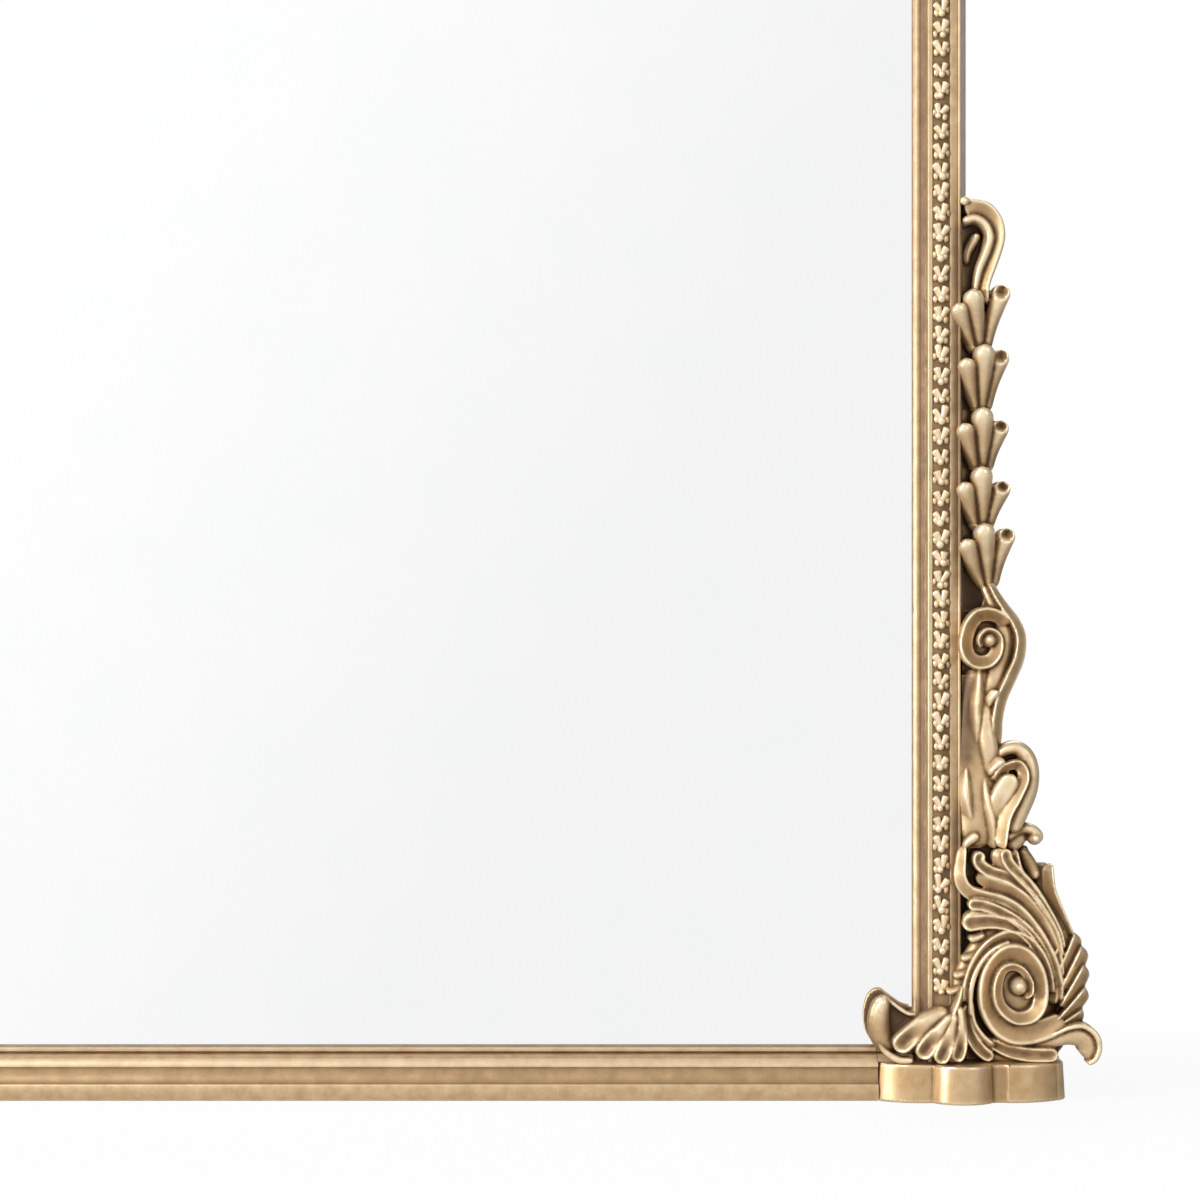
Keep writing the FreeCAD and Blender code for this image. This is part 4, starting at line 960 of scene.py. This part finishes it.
def bracket_shade_and_highlight(places):
    """Brown glaze and painted shade in the deep parts, a painted shadow on the flank beside the stile, and a painted
    highlight in the bowl of the lower curl.
    """
    across, down = stem.grid(places)
    bowl = np.exp(-((across - 930) / 60) ** 2 - ((down - 1090) / 130) ** 2)
    flank = ((780 - across) / 60).clip(0, 1) * ((down - 380) / 40).clip(0, 1) * ((1000 - down) / 120).clip(0, 1)
    return deep(19.5, 5.0)(places) + 1.2 * flank - 0.7 * bowl


bracket = stem.cast("right_scroll_bracket_carving", CORNER, 40, bracket_shade_and_highlight)

# Husk drop and its curl
drop = Carving(*PHOTO_GRID, 8.0)
drop.plate([(964, 612), (990, 612), (992, 590), (988, 300), (984, 270), (996, 232), (988, 210), (970, 206),
    (964, 215)], 5.2, 9.0)
# Foot, head, left tip and right tip of each husk
HUSKS = [
    ((984, 352), (973, 290), (957, 303), (1008, 284)),
    ((985, 411), (986, 345), (965, 358), (1007, 349)),
    ((986, 472), (984, 408), (963, 423), (1007, 420)),
    ((986, 531), (983, 467), (963, 482), (1009, 481)),
    ((992, 588), (985, 524), (965, 539), (1013, 528)),
]
for (fx, fy), (cx, cy), (lx, ly), (rx, ry) in HUSKS:
    drop.add("round", 20, (15, 25.4), [(fx - 5, fy + 2), ((fx + lx) / 2 - 2, (fy + ly) / 2 + 4), (lx + 1, ly)],
        rise=4.8, taper=(0.4, 0.8, 1.0))
    drop.add("cup", 22, (15, 20), [(fx + 4, fy), ((fx + rx) / 2 - 1.5, (fy + ry) / 2 + 3), (rx - 2, ry)],
        rise=4.4, taper=(0.5, 0.68, 1.0))
    drop.add("round", 24, (15, 26), [(fx, fy + 2), ((fx + cx) / 2, (fy + cy) / 2), (cx, cy - 1)],
        rise=5.4, taper=(0.4, 0.72, 1.0))
drop.add("bank", 21, (19, 22, 23), [(989, 302), (990, 284), (995, 268), (1001, 250), (1004, 234), (1000, 217),
    (988, 204), (966, 199)], rise=4.0, taper=(0.6, 1.0, 0.85), hand=-1)
drop.add("round", 9, (17, 22, 22), [(977, 300), (978, 284), (981, 268), (988, 250), (991, 236), (986, 224),
    (976, 218), (964, 221)], rise=3.0)
drop.add("round", 9, (12, 17), [(970, 262), (971, 250), (976, 240), (981, 232)], rise=3.0)
drop.bead((965, 201), 4.5, 24)


def husk_shade_and_highlight(places):
    """Brown glaze and painted shade in the gaps, painted shade at the foot of each husk, and a painted highlight on
    each head.
    """
    down = drop.grid(places)[1]
    heads = np.array([head[1] for _, head, _, _ in HUSKS], dtype=float)
    share = (down - heads[(np.searchsorted(heads, down) - 1).clip(0)]) / 60.0
    foot = ((share - 0.3) / 0.6).clip(0, 1) * (down > heads[0])
    head = (1 - share / 0.35).clip(0, 1) * (down > heads[0] - 3)
    return deep(12.5, 7.0)(places) + 0.8 * foot - 0.35 * head


husk_drop = drop.cast("right_husk_drop_carving", CORNER, 40, husk_shade_and_highlight)

for piece, node in ((corner_scroll, "corner_scroll"), (fan_leaf, "fan_leaf"), (bracket, "scroll_bracket"),
                    (husk_drop, "husk_drop")):
    finish_pair(piece, node)

# Crest, in millimetres from the crown of the arch
CREST_VOXEL = 0.6
crest = Carving((0, 0), 1.0, 16.0)
crest.plate([(40, 3), (31, -8), (29, -26), (40, -40), (58, -46), (74, -41), (92, -34), (106, -18), (124, 0),
    (150, 32), (140, 34)], 5.0, 17.0)
crest.mound((58, -22), (21, 21), 13.0, 23.0)
crest.add("bank", 9.6, (24, 26, 28, 29), [(152, 35), (128, 15), (102, 2), (76, -1), (52, 1), (36, -7), (31, -23),
    (40, -38), (57, -44), (74, -37), (81, -22), (74, -8), (59, -5), (48, -12), (45, -24), (53, -33), (64, -32),
    (69, -23), (64, -16)], rise=4.0, taper=(0.6, 1.2, 0.55))
crest.bead((58, -22), 4.4, 30)
for kind, width, level, points in (
    ("spoon", 8.0, 24, [(70, -39), (84, -46), (100, -42)]),
    ("bank", 8.0, 23, [(76, -38), (88, -38), (102, -32)]),
    ("spoon", 8.5, 25, [(80, -30), (94, -32), (110, -22)]),
    ("bank", 8.0, 24, [(82, -26), (98, -24), (114, -12)]),
    ("spoon", 9.0, 25, [(82, -18), (100, -17), (120, -2)]),
    ("bank", 8.0, 24, [(80, -12), (102, -9), (126, 8)]),
    ("spoon", 9.0, 25, [(76, -6), (102, -3), (130, 14)]),
    ("spoon", 8.5, 24, [(96, 7), (120, 14), (142, 32)]),
    ("spoon", 6.0, 24, [(118, 10), (142, 22), (158, 40)]),
):
    crest.add(kind, width, (level, level + 1), points, taper=(0.5, 1.0, 0.9))
crest_scroll = crest.cast("right_crest_scroll_carving", (0, CROWN), 30, deep(21.0, 4.0), CREST_VOXEL)
finish_pair(crest_scroll, "crest_scroll")

palm = Carving((0, 0), 1.0, 16.0)
palm.plate([(-15, 12), (15, 12), (13, 0), (8, -14), (8, -40), (0, -52), (-8, -40), (-8, -14), (-13, 0)], 5.0, 15.5)
for side in (-1, 1):
    palm.add("ladle", 10.0, (23, 25), [(side * 2, -14), (side * 8, -6), (side * 14, 7)],
        rise=3.4, taper=(0.5, 0.9, 0.9))
for number in sorted(range(-2, 3), key=abs, reverse=True):
    lean = math.radians(20) * number
    reach = 90.0 - 15 * abs(number)
    palm.add("ladle", 16.0, (24, 28.5 - abs(number) * 0.6), [(share * reach * math.sin(lean * bend),
        -(10 + share * reach * math.cos(lean * bend))) for share, bend in ((0.12, 0.8), (0.6, 0.8), (1.0, 1.0))],
        rise=3.6, taper=(0.4, 0.9, 0.9))
palm.bead((0, -10), 8, 29)
palm.add("spoon", 13, (27, 29), [(0, -8), (0, 4), (0, 18)], rise=3.2)
palmette = palm.cast("crest_palmette_carving", (0, CROWN), 30, deep(20.0, 4.0), CREST_VOXEL)
finish_piece(palmette, ["crest_palmette"])

# Studio: white floor that keeps the shadow, even light from the front and the upper left
scene = bpy.context.scene
scene.view_settings.view_transform = "Standard"

FLOOR_HALF = 4
FLOOR_TONES = (0.78, 0.78, 0.78), (0.80, 0.80, 0.80)
# The camera sees the paint through white by this share near the mirror, and none of it far away
PAINT_SHARE = 0.09
PAINT_NEAR, PAINT_FAR = 0.45, 1.0
PAINT_SHAPE = (1.3, 3.0, 1.0)
floor_mesh = bpy.data.meshes.new("floor")
floor_mesh.from_pydata([(x * FLOOR_HALF, y * FLOOR_HALF, 0) for x, y in ((-1, -1), (1, -1), (1, 1), (-1, 1))],
                       [], [(0, 1, 2, 3)])
floor = placed("floor", floor_mesh)
floor_material, tree, shader = nodes_of("floor_paint")
fill(tree, shader, {"Base Color": tones(tree, noise(tree, 6, 3), *FLOOR_TONES), "Roughness": 0.9,
                    "Specular IOR Level": 0.1})
paint = shader.outputs["BSDF"]
rays = make(tree, "ShaderNodeLightPath")
place = make(tree, "ShaderNodeTexCoord").outputs["Object"]
near = make(tree, "ShaderNodeMapping", {"Vector": place, "Scale": PAINT_SHAPE}).outputs["Vector"]
reach = make(tree, "ShaderNodeVectorMath", {0: near}, operation="LENGTH").outputs["Value"]
share = spread(tree, reach, PAINT_NEAR, PAINT_FAR, PAINT_SHARE, 0.0)
white = mix_shader(tree, share, make(tree, "ShaderNodeEmission").outputs["Emission"], paint)
seen = mix_shader(tree, rays.outputs["Is Camera Ray"], paint, white)
clear = make(tree, "ShaderNodeBsdfTransparent").outputs["BSDF"]
passed = mix_shader(tree, rays.outputs["Is Glossy Ray"], seen, clear)
fill(tree, tree.nodes["Material Output"], {"Surface": passed})
floor_mesh.materials.append(floor_material)

# What the mirror sees is brighter in front and left of a sloping line; diffuse light is weaker
SLOPE = 0.52
DIFFUSE_LEVEL = 0.31
world = bpy.data.worlds.new("studio")
scene.world = world
world.use_nodes = True
tree = world.node_tree
background = tree.nodes["Background"]
rays = make(tree, "ShaderNodeLightPath")
ways = make(tree, "ShaderNodeTexCoord").outputs["Generated"]
axes = make(tree, "ShaderNodeSeparateXYZ", {"Vector": ways})
slope = math_node(tree, "SUBTRACT", axes.outputs["X"], math_node(tree, "MULTIPLY", axes.outputs["Z"], SLOPE))
front = spread(tree, axes.outputs["Y"], -0.92, 0.1, 1.0, 0.38)
shine = math_node(tree, "MULTIPLY", front, spread(tree, slope, -0.2, 0.0, 1.04, 0.93))
level = math_node(tree, "ADD", math_node(tree, "MULTIPLY", rays.outputs["Is Glossy Ray"], shine),
                  math_node(tree, "MULTIPLY", rays.outputs["Is Diffuse Ray"], DIFFUSE_LEVEL))
seen = math_node(tree, "ADD", rays.outputs["Is Camera Ray"], rays.outputs["Is Transmission Ray"])
fill(tree, background, {"Strength": math_node(tree, "ADD", level, seen), "Color": (1, 1, 1, 1)})


def lamp(name, place, aim, size, power):
    light = bpy.data.lights.new(name, "AREA")
    light.shape = "DISK"
    light.size = size
    light.energy = power
    obj = placed(name, light)
    obj.location = place
    obj.rotation_euler = (Vector(aim) - Vector(place)).to_track_quat("-Z", "Y").to_euler()


lamp("key", (-1.3, -1.6, 1.7), (0.2, 0, 0.3), 1.0, 38)
lamp("side", (-1.55, -0.85, 0.22), (0.25, 0, 0.15), 0.7, 20)
lamp("fill", (1.7, -1.8, 0.9), (0.2, 0, 0.3), 1.5, 8)
lamp("back", (0.5, 2.2, 1.8), (0, 0, 0.4), 1.5, 18)

SENSOR = 36.0
PHOTO_WIDTH = 0.504
DISTANCE = 1.5
camera = bpy.data.cameras.new("camera")
camera.sensor_width = SENSOR
camera.lens = SENSOR * DISTANCE / PHOTO_WIDTH
eye = placed("camera", camera)
eye.location = (0.1722, -0.021 - DISTANCE, 0.210)
eye.rotation_euler = (QUARTER, 0, 0)
scene.camera = eye
